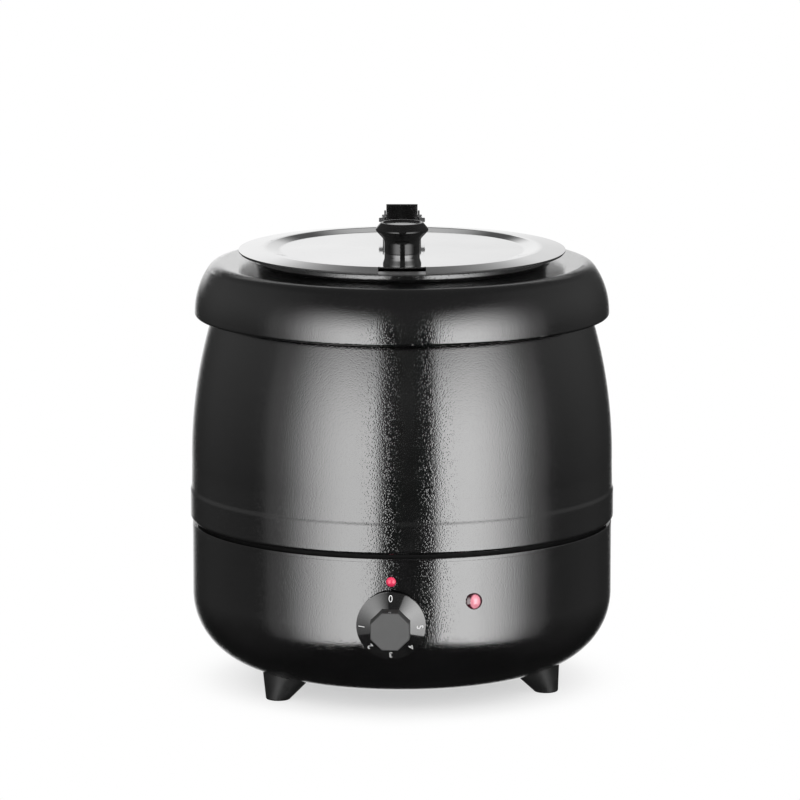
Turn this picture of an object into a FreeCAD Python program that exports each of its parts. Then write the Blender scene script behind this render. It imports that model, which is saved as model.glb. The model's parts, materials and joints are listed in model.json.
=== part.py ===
import FreeCAD, Part
import math
import os

# Soup kettle: a barrel body on three feet, a hung water tank over a ring heating element, a
# lift-out pot with a hinged lid, and a heat dial. Sizes are millimetres and degrees. Z is up,
# the floor is Z = 0, the body's axis is the Z axis and the dial's side, the front, faces -Y.
# Azimuths count from the front towards +X.

# Gaps shared by many pieces
seat_gap = 0.1                # between curved pieces that seat on each other
rest_gap = 0.3                # under a piece that lifts or swings away
running_gap = 0.05            # round a pin or shaft that turns
bolt_gap = 0.3                # round a bolt in its hole
nut_gap = 0.05                # round a bolt in its nut
cut_past = 2.0                # how far a cutter runs past the faces that it cuts
wall_reach = 6.0              # the same, each way from the bowl's curved wall

# Fasteners, in radii of their thread
nut_width_share = 3.5         # across flats
nut_height_share = 1.6
bolt_head_share = 1.4         # height of a hexagon head
bolt_end_share = 2.2          # thread that stands out for the nut
flat_head_share = 1.8         # radius of a flat screw head

# Mid shell, a barrel with a rolled hem
barrel_radius = 171.5         # at its widest
barrel_curve = 400.0          # radius of its bulging wall
barrel_height = 206.1
barrel_waist = 50.0           # widest part above the shell's lower edge
hem_proud = 1.1               # how far the hem stands out from the widest part
hem_height = 25.4             # lower edge to the top of the step
hem_step = 2.2                # height that the step takes
hem_roll = 3.2                # round under the hem
hem_roll_height = 2.8
shell_wall = 1.2

# Lower shell, a bowl
underside_height = 16.0       # floor to the flat underside
bowl_height = 117.8           # underside to the top of the rim
bowl_inset = 0.5              # its wall stands in from the barrel's widest part
bowl_side_round = 57.5        # round where the wall starts to turn in
bowl_side_turn = 40.0         # angle that this round turns through
bowl_bottom_round = 63.0      # round that runs on into the underside
rim_round = 0.6
rim_strip = 2.2               # plain strip above the groove in the rim
rim_groove = 0.8              # width of that groove
rim_groove_depth = 0.6
base_flange = 21.3            # flat left round the opening in the underside

# Joint between the two shells
seam_gap = 3.2                # height of the dark ring between the shells
seam_recess = 4.0             # how far that ring stands back from the wall
joint_flange = 18.0           # width of the flanges turned inwards at the joint
seam_bolt_count = 6
seam_bolt_first = 30.0        # azimuth of the first bolt
seam_bolt_radius = 2.5
seam_bolt_inset = 10.5        # bolt circle in from the wall

# Shoulder cap with its collar
cap_wall = 1.2
cap_inset = 2.9               # its lip stands in from the barrel's widest part
cap_depth = 43.3              # flat top down to the lip
cap_side_round = 62.0
cap_corner_round = 12.0
cap_corner_turn = 55.0        # angle that the corner round turns through
cap_lip_round = 2.0
collar_space = 3.3            # from the pot's wall to the collar
collar_height = 7.1
collar_foot_round = 3.0
collar_lean = 1.0             # its top stands in from its foot

# Water tank, clamped with its gasket between the cap and the mid shell
tank_margin = 1.3             # edge of its flange in from the mid shell's top edge
tank_flange = 10.5
tank_wall = 1.0
tank_corner = 30.0
element_room = 56.0           # underside of the body up to the tank
mouth_gap = 1.0               # mid shell's top flange to the tank's wall
gasket_height = 1.5
gasket_width = 9.0
clamp_inset = 5.0             # weld studs in from the edge of the tank's flange
clamp_stud_count = 6
clamp_stud_radius = 2.0

# Soup pot
water_side = 13.5             # tank's wall to the pot's wall
water_under = 25.2            # tank's floor to the pot
pot_wall = 1.0
pot_corner = 28.0
pot_mouth_round = 3.0
pot_flange_lap = 13.5         # its flange runs past the collar by this much

# Lid
lid_overhang = 1.3            # past the pot's flange
lid_wall = 1.0
lid_rim = 20.8                # edge in to the ridge
lid_ridge_height = 2.3        # ridge above the edge
lid_ridge_round = 14.0
lid_slope = 12.7              # ridge in to the flat disc
lid_disc_drop = 0.4           # disc below the edge
lid_disc_round = 10.0
notch_width = 38.0
notch_land = 2.5              # end of the notch out from the disc
notch_corner = 3.0

# Lid knob, two mouldings on one screw
knob_edge_gap = 2.4           # knob's foot to the edge of the lid's disc
knob_height = 34.0
knob_foot_height = 9.4
knob_foot_flare = 1.2         # foot wider than the neck by this much
knob_foot_edge = 1.2          # upright edge of the foot
knob_foot_edge_round = 0.6
knob_foot_rise = 3.8          # edge up to where the neck begins
knob_foot_round = 6.0
knob_neck_radius = 14.2
knob_head_radius = 21.8
knob_rim_height = 6.0         # head above its widest part
knob_rim_taper = 4.9          # narrower at the top by this much
knob_rim_round = 2.0
knob_flare_height = 8.0       # hollow flare from the neck to the rim
knob_flare_round = 8.6
knob_dish_depth = 1.4         # dished top
knob_dish_margin = 6.6
knob_dish_slope = 1.2
knob_dish_round = 1.0
knob_parting = 0.35           # chamfer each side of the parting line
knob_screw_radius = 2.5
knob_screw_head_radius = 5.0
knob_screw_head_height = 3.2
knob_screw_bite = 14.0        # thread in the upper moulding
knob_washer_radius = 8.0
knob_washer_height = 1.2

# Hinge at the back of the lid
arm_width = 25.7
arm_height = 26.6             # front of its top above the lid's disc
arm_edge_round = 1.2
arm_back_round = 6.0
arm_step_round = 2.0
arm_lift = 1.4                # clear height over the lid's ridge
arm_boss_wall = 0.8           # boss round the cross pin
bracket_wall = 1.2
bracket_length = 20.8
bracket_edge_gap = 1.2        # its corners to the edge of the lid's disc
ear_space = 1.7               # from the arm's side to each ear
ear_width = 8.0
cross_pin_radius = 1.8
cross_pin_reach = 3.25        # past each ear
cross_pin_height = 12.4       # above the lid's disc
cross_pin_back = 7.0          # behind the arm's front face
cross_pin_chamfer = 0.5
rivet_radius = 2.0
rivet_head_radius = 3.4
rivet_head_height = 1.2
rivet_edge = 1.0              # head to the bracket's rear edge
rivet_sink = 0.7              # depth of a flush head
rivet_sink_flare = 0.7        # its head is wider than the shank by this much
hinge_pin_radius = 2.0
hinge_pin_back = 12.0         # behind the lid's edge
hinge_pin_lift = 7.0          # above the pot's flange
hinge_knuckle_radius = 5.6
hinge_base_wall = 1.5
hinge_base_lap = 10.0         # tongue under the pot's flange
hinge_ear_gap = 0.4           # from the arm's side to each ear
hinge_pin_reach = 2.0         # past each ear

# Dial, index stud and pilot lamp on the front
control_azimuth = -2.9
control_drop = 53.0           # dial's centre below the seam
control_tilt = 5.0            # the dial looks this much downwards
dial_radius = 27.5
dial_rim = 2.2
dial_cone_height = 5.6
dial_cone_top_radius = 17.6
dial_depth = 19.2
dial_wall = 2.2
dial_stand_off = 1.4          # back of the skirt from the wall
grip_width = 31.6             # across flats where it leaves the skirt
grip_draft = 0.8              # narrower at the face by this much
grip_sides = 8
grip_root = 1.0               # how deep it starts inside the cone
grip_edge = 0.6               # chamfer round its face
pointer_width = 2.2           # nib on the grip's top flat, by its face
pointer_length = 4.0
pointer_proud = 1.0
hub_wall = 3.5                # round the shaft
shaft_radius = 3.0
shaft_flat = 0.8              # depth of the flat on the shaft
shaft_grip = 12.0             # length of shaft inside the dial
clip_inset = 1.0              # hub left inside the spring clip
clip_wall = 0.5
clip_slit = 3.0
clip_shorter = 3.0            # than the shaft's grip
index_drop = 18.6             # below the seam
index_radius = 3.9
index_dome = 1.8
index_lap = 2.0               # head past the shank
index_shank_length = 5.0
index_tip_taper = 0.6
index_tip_length = 1.5
lamp_azimuth = 19.5
lamp_drop = 36.0              # below the seam
lamp_radius = 6.6
lamp_dome = 3.0
lamp_rim = 1.0
lamp_lap = 2.2                # lens past its shank
lamp_neck = 1.0               # neck between the nut and the case
lamp_body_radius = 6.0
lamp_body_length = 20.0
lamp_nut_wall = 2.3
lamp_nut_height = 3.0
lamp_tab_spacing = 6.0

# Thermostat behind the dial
thermostat_width = 36.0
thermostat_height = 30.0
thermostat_depth = 24.0
thermostat_corner = 2.0
thermostat_bush_wall = 2.0
thermostat_bracket_width = 58.0
thermostat_bracket_height = 28.0
thermostat_bracket_wall = 1.5
thermostat_screw_spacing = 28.0
thermostat_screw_radius = 2.0
thermostat_screw_head = 0.9
thermostat_screw_bite = 7.0
thermostat_tab_spacing = 18.0
tab_width = 6.3               # push-on terminal tabs
tab_wall = 0.8
tab_length = 8.0
capillary_radius = 0.9
capillary_bend = 4.0
capillary_gap = 2.9           # under the element's clips
capillary_exit = 12.5         # straight run behind the thermostat
capillary_climb = 12.0        # length over which it climbs to that run
bulb_radius = 3.0
bulb_length = 50.0
bulb_side = 18.0              # bulb left of the axis
bulb_front_gap = 25.0         # its front end in from the element's ring
bulb_lead = 11.0              # straight run of tube in front of it

# Heating element and heat shield under the tank
element_inset = 18.0          # ring in from the edge of the tank's flat floor
element_tube_radius = 4.2
element_gap_angle = 56.0      # open part of the ring, at the back
element_bend = 14.0
element_tail = 12.0
element_pin_radius = 1.6
element_pin_length = 8.0
hanger_count = 3              # element clips, and as many shield studs between them
clip_width = 14.0
clip_foot = 9.0
clip_gap = 0.5                # round a tube in its clip
clip_strap_wall = 1.0
stud_radius = 1.5
stud_length = 7.0
shield_inset = 16.0           # in from the tank's wall
shield_wall = 1.0
shield_drop = 26.0            # below the tank
shield_stud_inset = 6.0       # in from the edge of the tank's flat floor
shield_stud_radius = 2.0
shield_spacer_wall = 1.5
shield_hole_gap = 3.8         # round the element's tails
cutout_radius = 8.0
cutout_height = 9.0
cutout_flange_length = 32.0
cutout_flange_width = 10.0
cutout_flange_wall = 1.0
cutout_screw_edge = 4.0
cutout_side = 24.0            # right of the axis
cutout_tab_spacing = 8.0

# Base plate with its terminal block, cable gland and feet
base_lap = 10.0               # plate past the opening in the underside
base_plate_wall = 1.2
base_screw_count = 4
base_screw_first = 45.0       # azimuth of the first screw
base_screw_radius = 1.8
base_screw_head_height = 2.0
base_screw_bite = 4.0         # past the shell's wall
vent_count = 12
vent_first = 15.0             # azimuth of the first vent
vent_inner = 36.0
vent_outer = 62.0
vent_width = 4.5
block_length = 44.0
block_width = 20.0
block_height = 17.0
block_gap = 1.2               # its corners to the edge of the opening in the underside
block_ways = 3
block_pitch = 8.5
block_well_radius = 2.4
block_wire_radius = 1.9
block_screw_radius = 1.6
block_screw_spacing = 34.0
block_screw_seat = 6.0        # seat above the block's underside
block_screw_head = 2.2
block_screw_end = 1.5         # past the base plate
gland_drop = 41.8             # below the seam
gland_azimuth = 180.0
gland_bore_radius = 4.0
gland_wall = 4.0              # bore to the thread
gland_shoulder = 3.0          # thread to the flats
gland_base = 5.0
gland_nose = 16.8
gland_nose_inset = 0.9        # nose in from the flats
gland_nose_round = 6.0
gland_thread_length = 12.0
gland_nut_height = 4.0
foot_azimuths = {"foot_left": -52.3, "foot_right": 67.7, "foot_rear": 187.7}
foot_inset = 44.0             # centres of the feet in from the bowl's wall
foot_bottom_radius = 9.5
foot_top_radius = 25.0
foot_edge_round = 1.5
foot_top_height = 26.0        # height where the splay would reach the top radius
foot_screw_radius = 2.0
foot_screw_head_height = 3.0
foot_screw_inset = 3.0        # screw nearer the axis than the foot's centre
foot_recess = 5.0             # floor up to the seat of its screw

# Heights, worked out from the sizes above
up = FreeCAD.Vector(0, 0, 1)
seam_z = underside_height + bowl_height
mid_bottom_z = seam_z + seam_gap
waist_z = mid_bottom_z + barrel_waist
mid_top_z = mid_bottom_z + barrel_height
tank_top_z = mid_top_z + tank_wall
tank_bottom_z = underside_height + element_room
cap_under_z = tank_top_z + gasket_height
cap_top_z = cap_under_z + cap_wall
collar_top_z = cap_top_z + collar_height
pot_floor_z = tank_bottom_z + tank_wall + water_under + pot_wall
pot_flange_z = collar_top_z + rest_gap
pot_top_z = pot_flange_z + pot_wall
lid_edge_z = pot_top_z + rest_gap + lid_wall
lid_disc_z = lid_edge_z - lid_disc_drop
lid_ridge_z = lid_edge_z + lid_ridge_height
cross_pin_z = lid_disc_z + cross_pin_height
hinge_pin_z = pot_top_z + hinge_pin_lift
control_z = seam_z - control_drop
shield_top_z = tank_bottom_z - shield_drop
element_z = tank_bottom_z - element_tube_radius - seat_gap
base_plate_z = underside_height - base_plate_wall

# Radii, worked out in the same way from the barrel inwards
barrel_top_radius = barrel_radius - barrel_curve + math.sqrt(barrel_curve ** 2 - (mid_top_z - waist_z) ** 2)
bowl_radius = barrel_radius - bowl_inset
bowl_inner_radius = bowl_radius - shell_wall
bowl_round_step = bowl_bottom_round - bowl_side_round
bowl_side_z = underside_height + bowl_bottom_round - bowl_round_step * math.sin(math.radians(bowl_side_turn))
bowl_flat_radius = bowl_radius - bowl_side_round - bowl_round_step * math.cos(math.radians(bowl_side_turn))
joint_inner_radius = bowl_radius - joint_flange
seam_bolt_circle = bowl_radius - seam_bolt_inset
cap_radius = barrel_radius - cap_inset
tank_flange_radius = barrel_top_radius - tank_margin
tank_radius = tank_flange_radius - tank_flange
tank_flat_radius = tank_radius - tank_corner
clamp_circle = tank_flange_radius - clamp_inset
pot_radius = tank_radius - tank_wall - water_side - pot_wall
collar_radius = pot_radius + pot_wall + collar_space + cap_wall
pot_flange_radius = collar_radius + pot_flange_lap
lid_radius = pot_flange_radius + lid_overhang
lid_ridge_radius = lid_radius - lid_rim
lid_disc_radius = lid_ridge_radius - lid_slope
element_radius = tank_flat_radius - element_inset
shield_radius = tank_radius - shield_inset
shield_stud_circle = tank_flat_radius - shield_stud_inset
base_opening_radius = bowl_flat_radius - base_flange
base_plate_radius = base_opening_radius + base_lap
base_screw_circle = base_opening_radius + base_lap / 2
foot_circle = bowl_radius - foot_inset
foot_screw_circle = foot_circle - foot_screw_inset

# Places of the pieces on the lid, and sizes that follow a neighbour
knob_foot_radius = knob_neck_radius + knob_foot_flare
knob_forward = lid_disc_radius - knob_edge_gap - knob_foot_radius
bracket_inner = arm_width / 2 + ear_space
bracket_outer = bracket_inner + bracket_wall
bracket_back = math.sqrt((lid_disc_radius - bracket_edge_gap) ** 2 - bracket_outer ** 2)
arm_front = bracket_back - bracket_length
cross_pin_y = arm_front + cross_pin_back
hinge_pin_y = lid_radius + hinge_pin_back
hinge_ear_inner = arm_width / 2 + hinge_ear_gap
hinge_ear_outer = hinge_ear_inner + hinge_base_wall
bush_radius = shaft_radius + thermostat_bush_wall
hub_radius = shaft_radius + hub_wall
clip_bore = shaft_radius + clip_inset
lamp_shank_radius = lamp_radius - lamp_lap
lamp_nut_width = 2 * (lamp_shank_radius + lamp_nut_wall)
index_shank_radius = index_radius - index_lap
gland_thread_radius = gland_bore_radius + gland_wall
gland_width = 2 * (gland_thread_radius + gland_shoulder)
block_reach = math.sqrt((base_opening_radius - block_gap) ** 2 - (block_length / 2) ** 2)
block_back = block_reach - block_width / 2


class Outline:
    """A run of straight lines and round turns in the plane of radius and height."""

    def __init__(self, r, z):
        self.start = (r, z)
        self.at = (r, z)
        self.edges = []

    def line(self, r, z):
        """Goes straight to a point, or stays where that point is already reached."""
        if math.dist(self.at, (r, z)) > 1e-6:
            self.edges.append(Part.LineSegment(in_plane(self.at), in_plane((r, z))).toShape())
            self.at = (r, z)
        return self

    def turn(self, centre, angle):
        """Goes round a centre, anticlockwise where the angle is positive."""
        middle = spun(self.at, centre, angle / 2)
        end = spun(self.at, centre, angle)
        self.edges.append(Part.Arc(in_plane(self.at), in_plane(middle), in_plane(end)).toShape())
        self.at = end
        return self

    def closed(self):
        """The flat face inside the outline."""
        self.line(*self.start)
        return Part.Face(Part.Wire(self.edges))

    def turned(self):
        """The solid of revolution inside the outline."""
        return self.closed().revolve(FreeCAD.Vector(), up, 360)

    def band(self, wall):
        """A flat strip along the outline. A positive wall grows to the left of travel."""
        return Part.Wire(self.edges).makeOffset2D(wall, 0, True, True, False)

    def sheet(self, wall):
        """The strip along the outline, revolved."""
        return self.band(wall).revolve(FreeCAD.Vector(), up, 360)


def in_plane(point):
    return FreeCAD.Vector(point[0], 0, point[1])


def spun(point, centre, angle):
    turn = math.radians(angle)
    across = point[0] - centre[0]
    rise = point[1] - centre[1]
    return (centre[0] + across * math.cos(turn) - rise * math.sin(turn),
            centre[1] + across * math.sin(turn) + rise * math.cos(turn))


def rounded(corners):
    """An outline through corners, each with the radius of its round, or 0 for a sharp one."""
    outline = Outline(*corners[0][:2])
    for (ra, za, _), (rb, zb, radius), (rc, zc, _) in zip(corners, corners[1:], corners[2:]):
        if radius == 0:
            outline.line(rb, zb)
            continue
        into = math.atan2(zb - za, rb - ra)
        away = math.atan2(zc - zb, rc - rb)
        turn = (away - into + math.pi) % (2 * math.pi) - math.pi
        reach = radius * math.tan(abs(turn) / 2)
        side = math.copysign(math.pi / 2, turn)
        begin = (rb - reach * math.cos(into), zb - reach * math.sin(into))
        centre = (begin[0] + radius * math.cos(into + side), begin[1] + radius * math.sin(into + side))
        outline.line(*begin)
        outline.turn(centre, math.degrees(turn))
    return outline.line(*corners[-1][:2])


def polar(azimuth, radius, height):
    angle = math.radians(azimuth)
    return FreeCAD.Vector(radius * math.sin(angle), -radius * math.cos(angle), height)


def post(radius, low, high, x=0.0, y=0.0):
    """An upright cylinder between two heights."""
    return Part.makeCylinder(radius, high - low, FreeCAD.Vector(x, y, low))


def drill(radius, low, high, x=0.0, y=0.0):
    """A cutter for a hole through what lies between two heights."""
    return post(radius, low - cut_past, high + cut_past, x, y)


def ring(inner, outer, low, high):
    return post(outer, low, high).cut(post(inner, low, high))


def block(x_span, y_span, z_span):
    low = FreeCAD.Vector(x_span[0], y_span[0], z_span[0])
    return Part.makeBox(x_span[1] - x_span[0], y_span[1] - y_span[0], z_span[1] - z_span[0], low)


def plate(width, depth, z_span, x=0.0, y=0.0):
    """A box centred on a place."""
    return block((x - width / 2, x + width / 2), (y - depth / 2, y + depth / 2), z_span)


def polygon(width, sides, height):
    """A closed flat ring of straight sides, sized across its flats."""
    corner = width / 2 / math.cos(math.pi / sides)
    angles = [2 * math.pi * (step + 0.5) / sides for step in range(sides)]
    points = [FreeCAD.Vector(corner * math.cos(a), corner * math.sin(a), height) for a in angles]
    return Part.makePolygon(points + points[:1])


def prism(width, sides, low, high):
    return Part.Face(polygon(width, sides, low)).extrude(up * (high - low))


def nut_height(bolt_radius):
    return nut_height_share * bolt_radius


def hex_nut(bolt_radius, low):
    high = low + nut_height(bolt_radius)
    return prism(nut_width_share * bolt_radius, 6, low, high).cut(post(bolt_radius + nut_gap, low, high))


def screw(thread_radius, head_radius, head_low, head_high, end):
    """A plain screw with a round head."""
    shank = post(thread_radius, min(head_low, end), max(head_high, end))
    return post(head_radius, head_low, head_high).fuse(shank).removeSplitter()


def around(shape, azimuths, radius):
    """Copies of a shape made on the axis, carried out to a circle."""
    copies = []
    for azimuth in azimuths:
        copy = shape.copy()
        copy.translate(FreeCAD.Vector(0, -radius, 0))
        copy.rotate(FreeCAD.Vector(), up, azimuth)
        copies.append(copy)
    return copies


def at_places(shape, places):
    """Copies of a shape made on the axis, carried to points in plan."""
    copies = []
    for x, y in places:
        copy = shape.copy()
        copy.translate(FreeCAD.Vector(x, y, 0))
        copies.append(copy)
    return copies


def even(count, first=0.0):
    return [first + 360.0 * step / count for step in range(count)]


def pair(spacing):
    return [-spacing / 2, spacing / 2]


def group(shapes):
    return Part.makeCompound(shapes)


def less(shape, cutters):
    return shape.cut(group(cutters))


def upright_edges(shape):
    return [edge for edge in shape.Edges if edge.BoundBox.XLength + edge.BoundBox.YLength < 1e-3]


def bow(radius, half_width):
    """How far a round wall falls back over half the width of what stands on it."""
    return radius - math.sqrt(radius ** 2 - half_width ** 2)


def on_wall(shape, azimuth, height, tilt=0.0):
    """Carries a shape made along +Z, with +Y up, out to the bowl's wall, facing outwards."""
    turn = FreeCAD.Rotation(up, azimuth) * FreeCAD.Rotation(FreeCAD.Vector(1, 0, 0), 90 + tilt)
    place = FreeCAD.Placement(polar(azimuth, bowl_radius, height), turn)
    return shape.transformed(place.toMatrix())


def on_dial_axis(shape):
    return on_wall(shape, control_azimuth, control_z, control_tilt)


def wall_drill(radius, x=0.0):
    return post(radius, -wall_reach, wall_reach, x)


def nut_face(width):
    """Seat of a nut inside the bowl's wall, clear of the wall's bow at its corners."""
    corner = width / 2 / math.cos(math.pi / 6)
    return -shell_wall - bow(bowl_inner_radius, corner) - seat_gap


def bent_path(points, bend):
    """Straight runs through points, with a tangent arc of one radius at each corner."""
    edges = []
    at = points[0]
    for before, corner, after in zip(points, points[1:], points[2:]):
        into = (corner - before).normalize()
        away = (after - corner).normalize()
        half = math.acos(max(-1.0, min(1.0, into.dot(away)))) / 2
        begin = corner - into * (bend * math.tan(half))
        end = corner + away * (bend * math.tan(half))
        to_centre = (away - into).normalize()
        middle = corner + to_centre * (bend / math.cos(half) - bend)
        edges.append(Part.LineSegment(at, begin).toShape())
        edges.append(Part.Arc(begin, middle, end).toShape())
        at = end
    edges.append(Part.LineSegment(at, points[-1]).toShape())
    return Part.Wire(edges)


def tube_along(path, radius, start, heading):
    """A round bar swept along a path."""
    section = Part.Wire(Part.Circle(start, heading, radius).toShape())
    return path.makePipeShell([section], True, False)


def bowl_outline(grown=0.0):
    """The bowl's outside, or a skin parallel to it, from the wall's top to the flat underside."""
    wall_r = bowl_radius + grown
    side_centre = (bowl_radius - bowl_side_round, bowl_side_z)
    bottom_centre = (bowl_flat_radius, underside_height + bowl_bottom_round)
    outline = Outline(wall_r, seam_z - rim_round)
    outline.line(wall_r, bowl_side_z)
    outline.turn(side_centre, -bowl_side_turn)
    outline.turn(bottom_centre, bowl_side_turn - 90)
    return outline


def bowl_body(grown=0.0):
    """The bowl as if it were full, to trim what stands against it."""
    outline = bowl_outline(grown)
    outline.line(0, outline.at[1])
    outline.line(0, seam_z - rim_round)
    return outline.turned()


def bowl_inside_z(radius):
    """Height of the bowl's inner face over its bottom round."""
    across = max(0.0, radius - bowl_flat_radius)
    inner_round = bowl_bottom_round - shell_wall
    return underside_height + bowl_bottom_round - math.sqrt(inner_round ** 2 - across ** 2)


def seam_bolt_azimuths():
    return even(seam_bolt_count, seam_bolt_first)


def base_screw_azimuths():
    return even(base_screw_count, base_screw_first)


def lower_shell():
    outline = rounded([(joint_inner_radius, seam_z, 0), (bowl_radius, seam_z, rim_round),
                       (bowl_radius, seam_z - rim_round, 0)])
    wall = bowl_outline()
    wall.line(base_opening_radius, underside_height)
    outline.edges.extend(wall.edges)
    shell = outline.sheet(-shell_wall)
    groove_top = seam_z - rim_strip
    cuts = [ring(bowl_radius - rim_groove_depth, bowl_radius + cut_past, groove_top - rim_groove, groove_top)]
    cuts += around(drill(seam_bolt_radius + bolt_gap, seam_z - shell_wall, seam_z),
                   seam_bolt_azimuths(), seam_bolt_circle)
    cuts += around(drill(base_screw_radius + seat_gap, underside_height, underside_height + shell_wall),
                   base_screw_azimuths(), base_screw_circle)
    cuts += around(post(foot_screw_radius + bolt_gap, 0, foot_nut_z() + cut_past),
                   foot_azimuths.values(), foot_screw_circle)
    cuts.append(on_dial_axis(wall_drill(bush_radius + bolt_gap)))
    cuts += [on_dial_axis(wall_drill(thermostat_screw_radius + bolt_gap, x))
             for x in pair(thermostat_screw_spacing)]
    cuts.append(on_wall(wall_drill(index_shank_radius + seat_gap), control_azimuth, seam_z - index_drop))
    cuts.append(on_wall(wall_drill(lamp_shank_radius + seat_gap), lamp_azimuth, seam_z - lamp_drop))
    cuts.append(on_wall(wall_drill(gland_thread_radius + bolt_gap), gland_azimuth, seam_z - gland_drop))
    return less(shell, cuts)


def seam_ring():
    whole = ring(joint_inner_radius, bowl_radius - seam_recess, seam_z, mid_bottom_z)
    bolt_hole = drill(seam_bolt_radius + bolt_gap, seam_z, mid_bottom_z)
    return less(whole, around(bolt_hole, seam_bolt_azimuths(), seam_bolt_circle))


def seam_bolts():
    seat = seam_z - shell_wall
    head = prism(nut_width_share * seam_bolt_radius, 6, seat - bolt_head_share * seam_bolt_radius, seat)
    shank = post(seam_bolt_radius, seat, mid_bottom_z + shell_wall + bolt_end_share * seam_bolt_radius)
    return group(around(head.fuse(shank).removeSplitter(), seam_bolt_azimuths(), seam_bolt_circle))


def seam_nuts():
    nut = hex_nut(seam_bolt_radius, mid_bottom_z + shell_wall)
    return group(around(nut, seam_bolt_azimuths(), seam_bolt_circle))


def mid_shell():
    centre = (barrel_radius - barrel_curve, waist_z)
    hem_radius = barrel_radius + hem_proud
    hem_top_z = mid_bottom_z + hem_height
    top_angle = math.degrees(math.asin((mid_top_z - waist_z) / barrel_curve))
    hem_angle = math.degrees(math.asin((hem_top_z - waist_z) / barrel_curve))
    roll_angle = math.degrees(math.asin(hem_roll_height / hem_roll))
    outline = Outline(tank_radius + mouth_gap, mid_top_z)
    outline.line(barrel_top_radius, mid_top_z)
    outline.turn(centre, hem_angle - top_angle)
    outline.line(hem_radius, hem_top_z - hem_step)
    outline.line(hem_radius, mid_bottom_z + hem_roll_height)
    outline.turn((hem_radius - hem_roll, mid_bottom_z + hem_roll_height), -roll_angle)
    outline.line(joint_inner_radius, mid_bottom_z)
    shell = outline.sheet(-shell_wall)
    cuts = around(drill(clamp_stud_radius + bolt_gap, mid_top_z - shell_wall, mid_top_z),
                  even(clamp_stud_count), clamp_circle)
    cuts += around(drill(seam_bolt_radius + bolt_gap, mid_bottom_z, mid_bottom_z + shell_wall),
                   seam_bolt_azimuths(), seam_bolt_circle)
    return less(shell, cuts)


def shoulder_cap():
    side_turn = 90 - cap_corner_turn
    round_step = cap_side_round - cap_corner_round
    corner_z = cap_top_z - cap_corner_round
    side_centre = (cap_radius - cap_side_round, corner_z - round_step * math.sin(math.radians(side_turn)))
    corner_r = side_centre[0] + round_step * math.cos(math.radians(side_turn))
    lip_z = cap_top_z - cap_depth
    outline = rounded([(collar_radius - collar_lean, collar_top_z, 0),
                       (collar_radius, cap_top_z, collar_foot_round), (corner_r, cap_top_z, 0)])
    outline.turn((corner_r, corner_z), -cap_corner_turn)
    outline.turn(side_centre, -side_turn)
    outline.line(cap_radius, lip_z + cap_lip_round)
    outline.turn((cap_radius - cap_lip_round, lip_z + cap_lip_round), -90)
    return outline.sheet(-cap_wall)


def cap_studs():
    low = mid_top_z - shell_wall - bolt_end_share * clamp_stud_radius
    return group(around(post(clamp_stud_radius, low, cap_under_z), even(clamp_stud_count), clamp_circle))


def cap_nuts():
    nut = hex_nut(clamp_stud_radius, mid_top_z - shell_wall - nut_height(clamp_stud_radius))
    return group(around(nut, even(clamp_stud_count), clamp_circle))


def tank_gasket():
    whole = ring(clamp_circle - gasket_width / 2, clamp_circle + gasket_width / 2, tank_top_z, cap_under_z)
    stud_hole = drill(clamp_stud_radius + bolt_gap, tank_top_z, cap_under_z)
    return less(whole, around(stud_hole, even(clamp_stud_count), clamp_circle))


def water_tank():
    outline = rounded([(tank_flange_radius, mid_top_z, 0), (tank_radius, mid_top_z, tank_wall),
                       (tank_radius, tank_bottom_z, tank_corner), (0, tank_bottom_z, 0)])
    stud_hole = drill(clamp_stud_radius + bolt_gap, mid_top_z, tank_top_z)
    return less(outline.sheet(-tank_wall), around(stud_hole, even(clamp_stud_count), clamp_circle))


def soup_pot():
    outline = rounded([(pot_flange_radius, pot_top_z, 0), (pot_radius, pot_top_z, pot_mouth_round),
                       (pot_radius, pot_floor_z, pot_corner), (0, pot_floor_z, 0)])
    return less(outline.sheet(pot_wall), at_places(flush_rivet(nut_gap), hinge_rivet_places()))


def hinge_rivet_places():
    y = math.sqrt(pot_flange_radius ** 2 - hinge_ear_outer ** 2) - hinge_base_lap / 2
    return [(x, y) for x in pair(hinge_ear_inner)]


def bracket_rivet_places():
    y = bracket_back - rivet_head_radius - rivet_edge
    return [(x, y) for x in pair(2 * (bracket_inner - rivet_head_radius))]


def flush_rivet(grown=0.0):
    """A rivet under the pot's flange, its top let in flush because the lid lies over it."""
    low = pot_flange_z - hinge_base_wall
    shank = post(rivet_radius + grown, low - rivet_head_height, pot_top_z)
    head = post(rivet_head_radius + grown, low - rivet_head_height, low)
    sink = Part.makeCone(rivet_radius + grown, rivet_radius + rivet_sink_flare + grown, rivet_sink,
                         FreeCAD.Vector(0, 0, pot_top_z - rivet_sink))
    return shank.fuse([head, sink]).removeSplitter()


def flat_rivet(low, high):
    """A rivet with a flat head each side of what lies between two heights."""
    heads = [post(rivet_head_radius, low - rivet_head_height, low),
             post(rivet_head_radius, high, high + rivet_head_height)]
    return post(rivet_radius, low, high).fuse(heads).removeSplitter()


def cross_bar(radius, half_length, y, z):
    """A round bar along X, centred on the middle plane."""
    start = FreeCAD.Vector(-half_length, y, z)
    return Part.makeCylinder(radius, 2 * half_length, start, FreeCAD.Vector(1, 0, 0))


def ear(x_span, y_mid, width, low, pin_z):
    """An upright ear with a round head about a pin."""
    upright = block(x_span, (y_mid - width / 2, y_mid + width / 2), (low, pin_z))
    head = Part.makeCylinder(width / 2, x_span[1] - x_span[0], FreeCAD.Vector(x_span[0], y_mid, pin_z),
                             FreeCAD.Vector(1, 0, 0))
    return upright.fuse(head)


def ear_pair(inner, outer, y_mid, width, low, pin_z):
    return [ear(span, y_mid, width, low, pin_z) for span in ((-outer, -inner), (inner, outer))]


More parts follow.
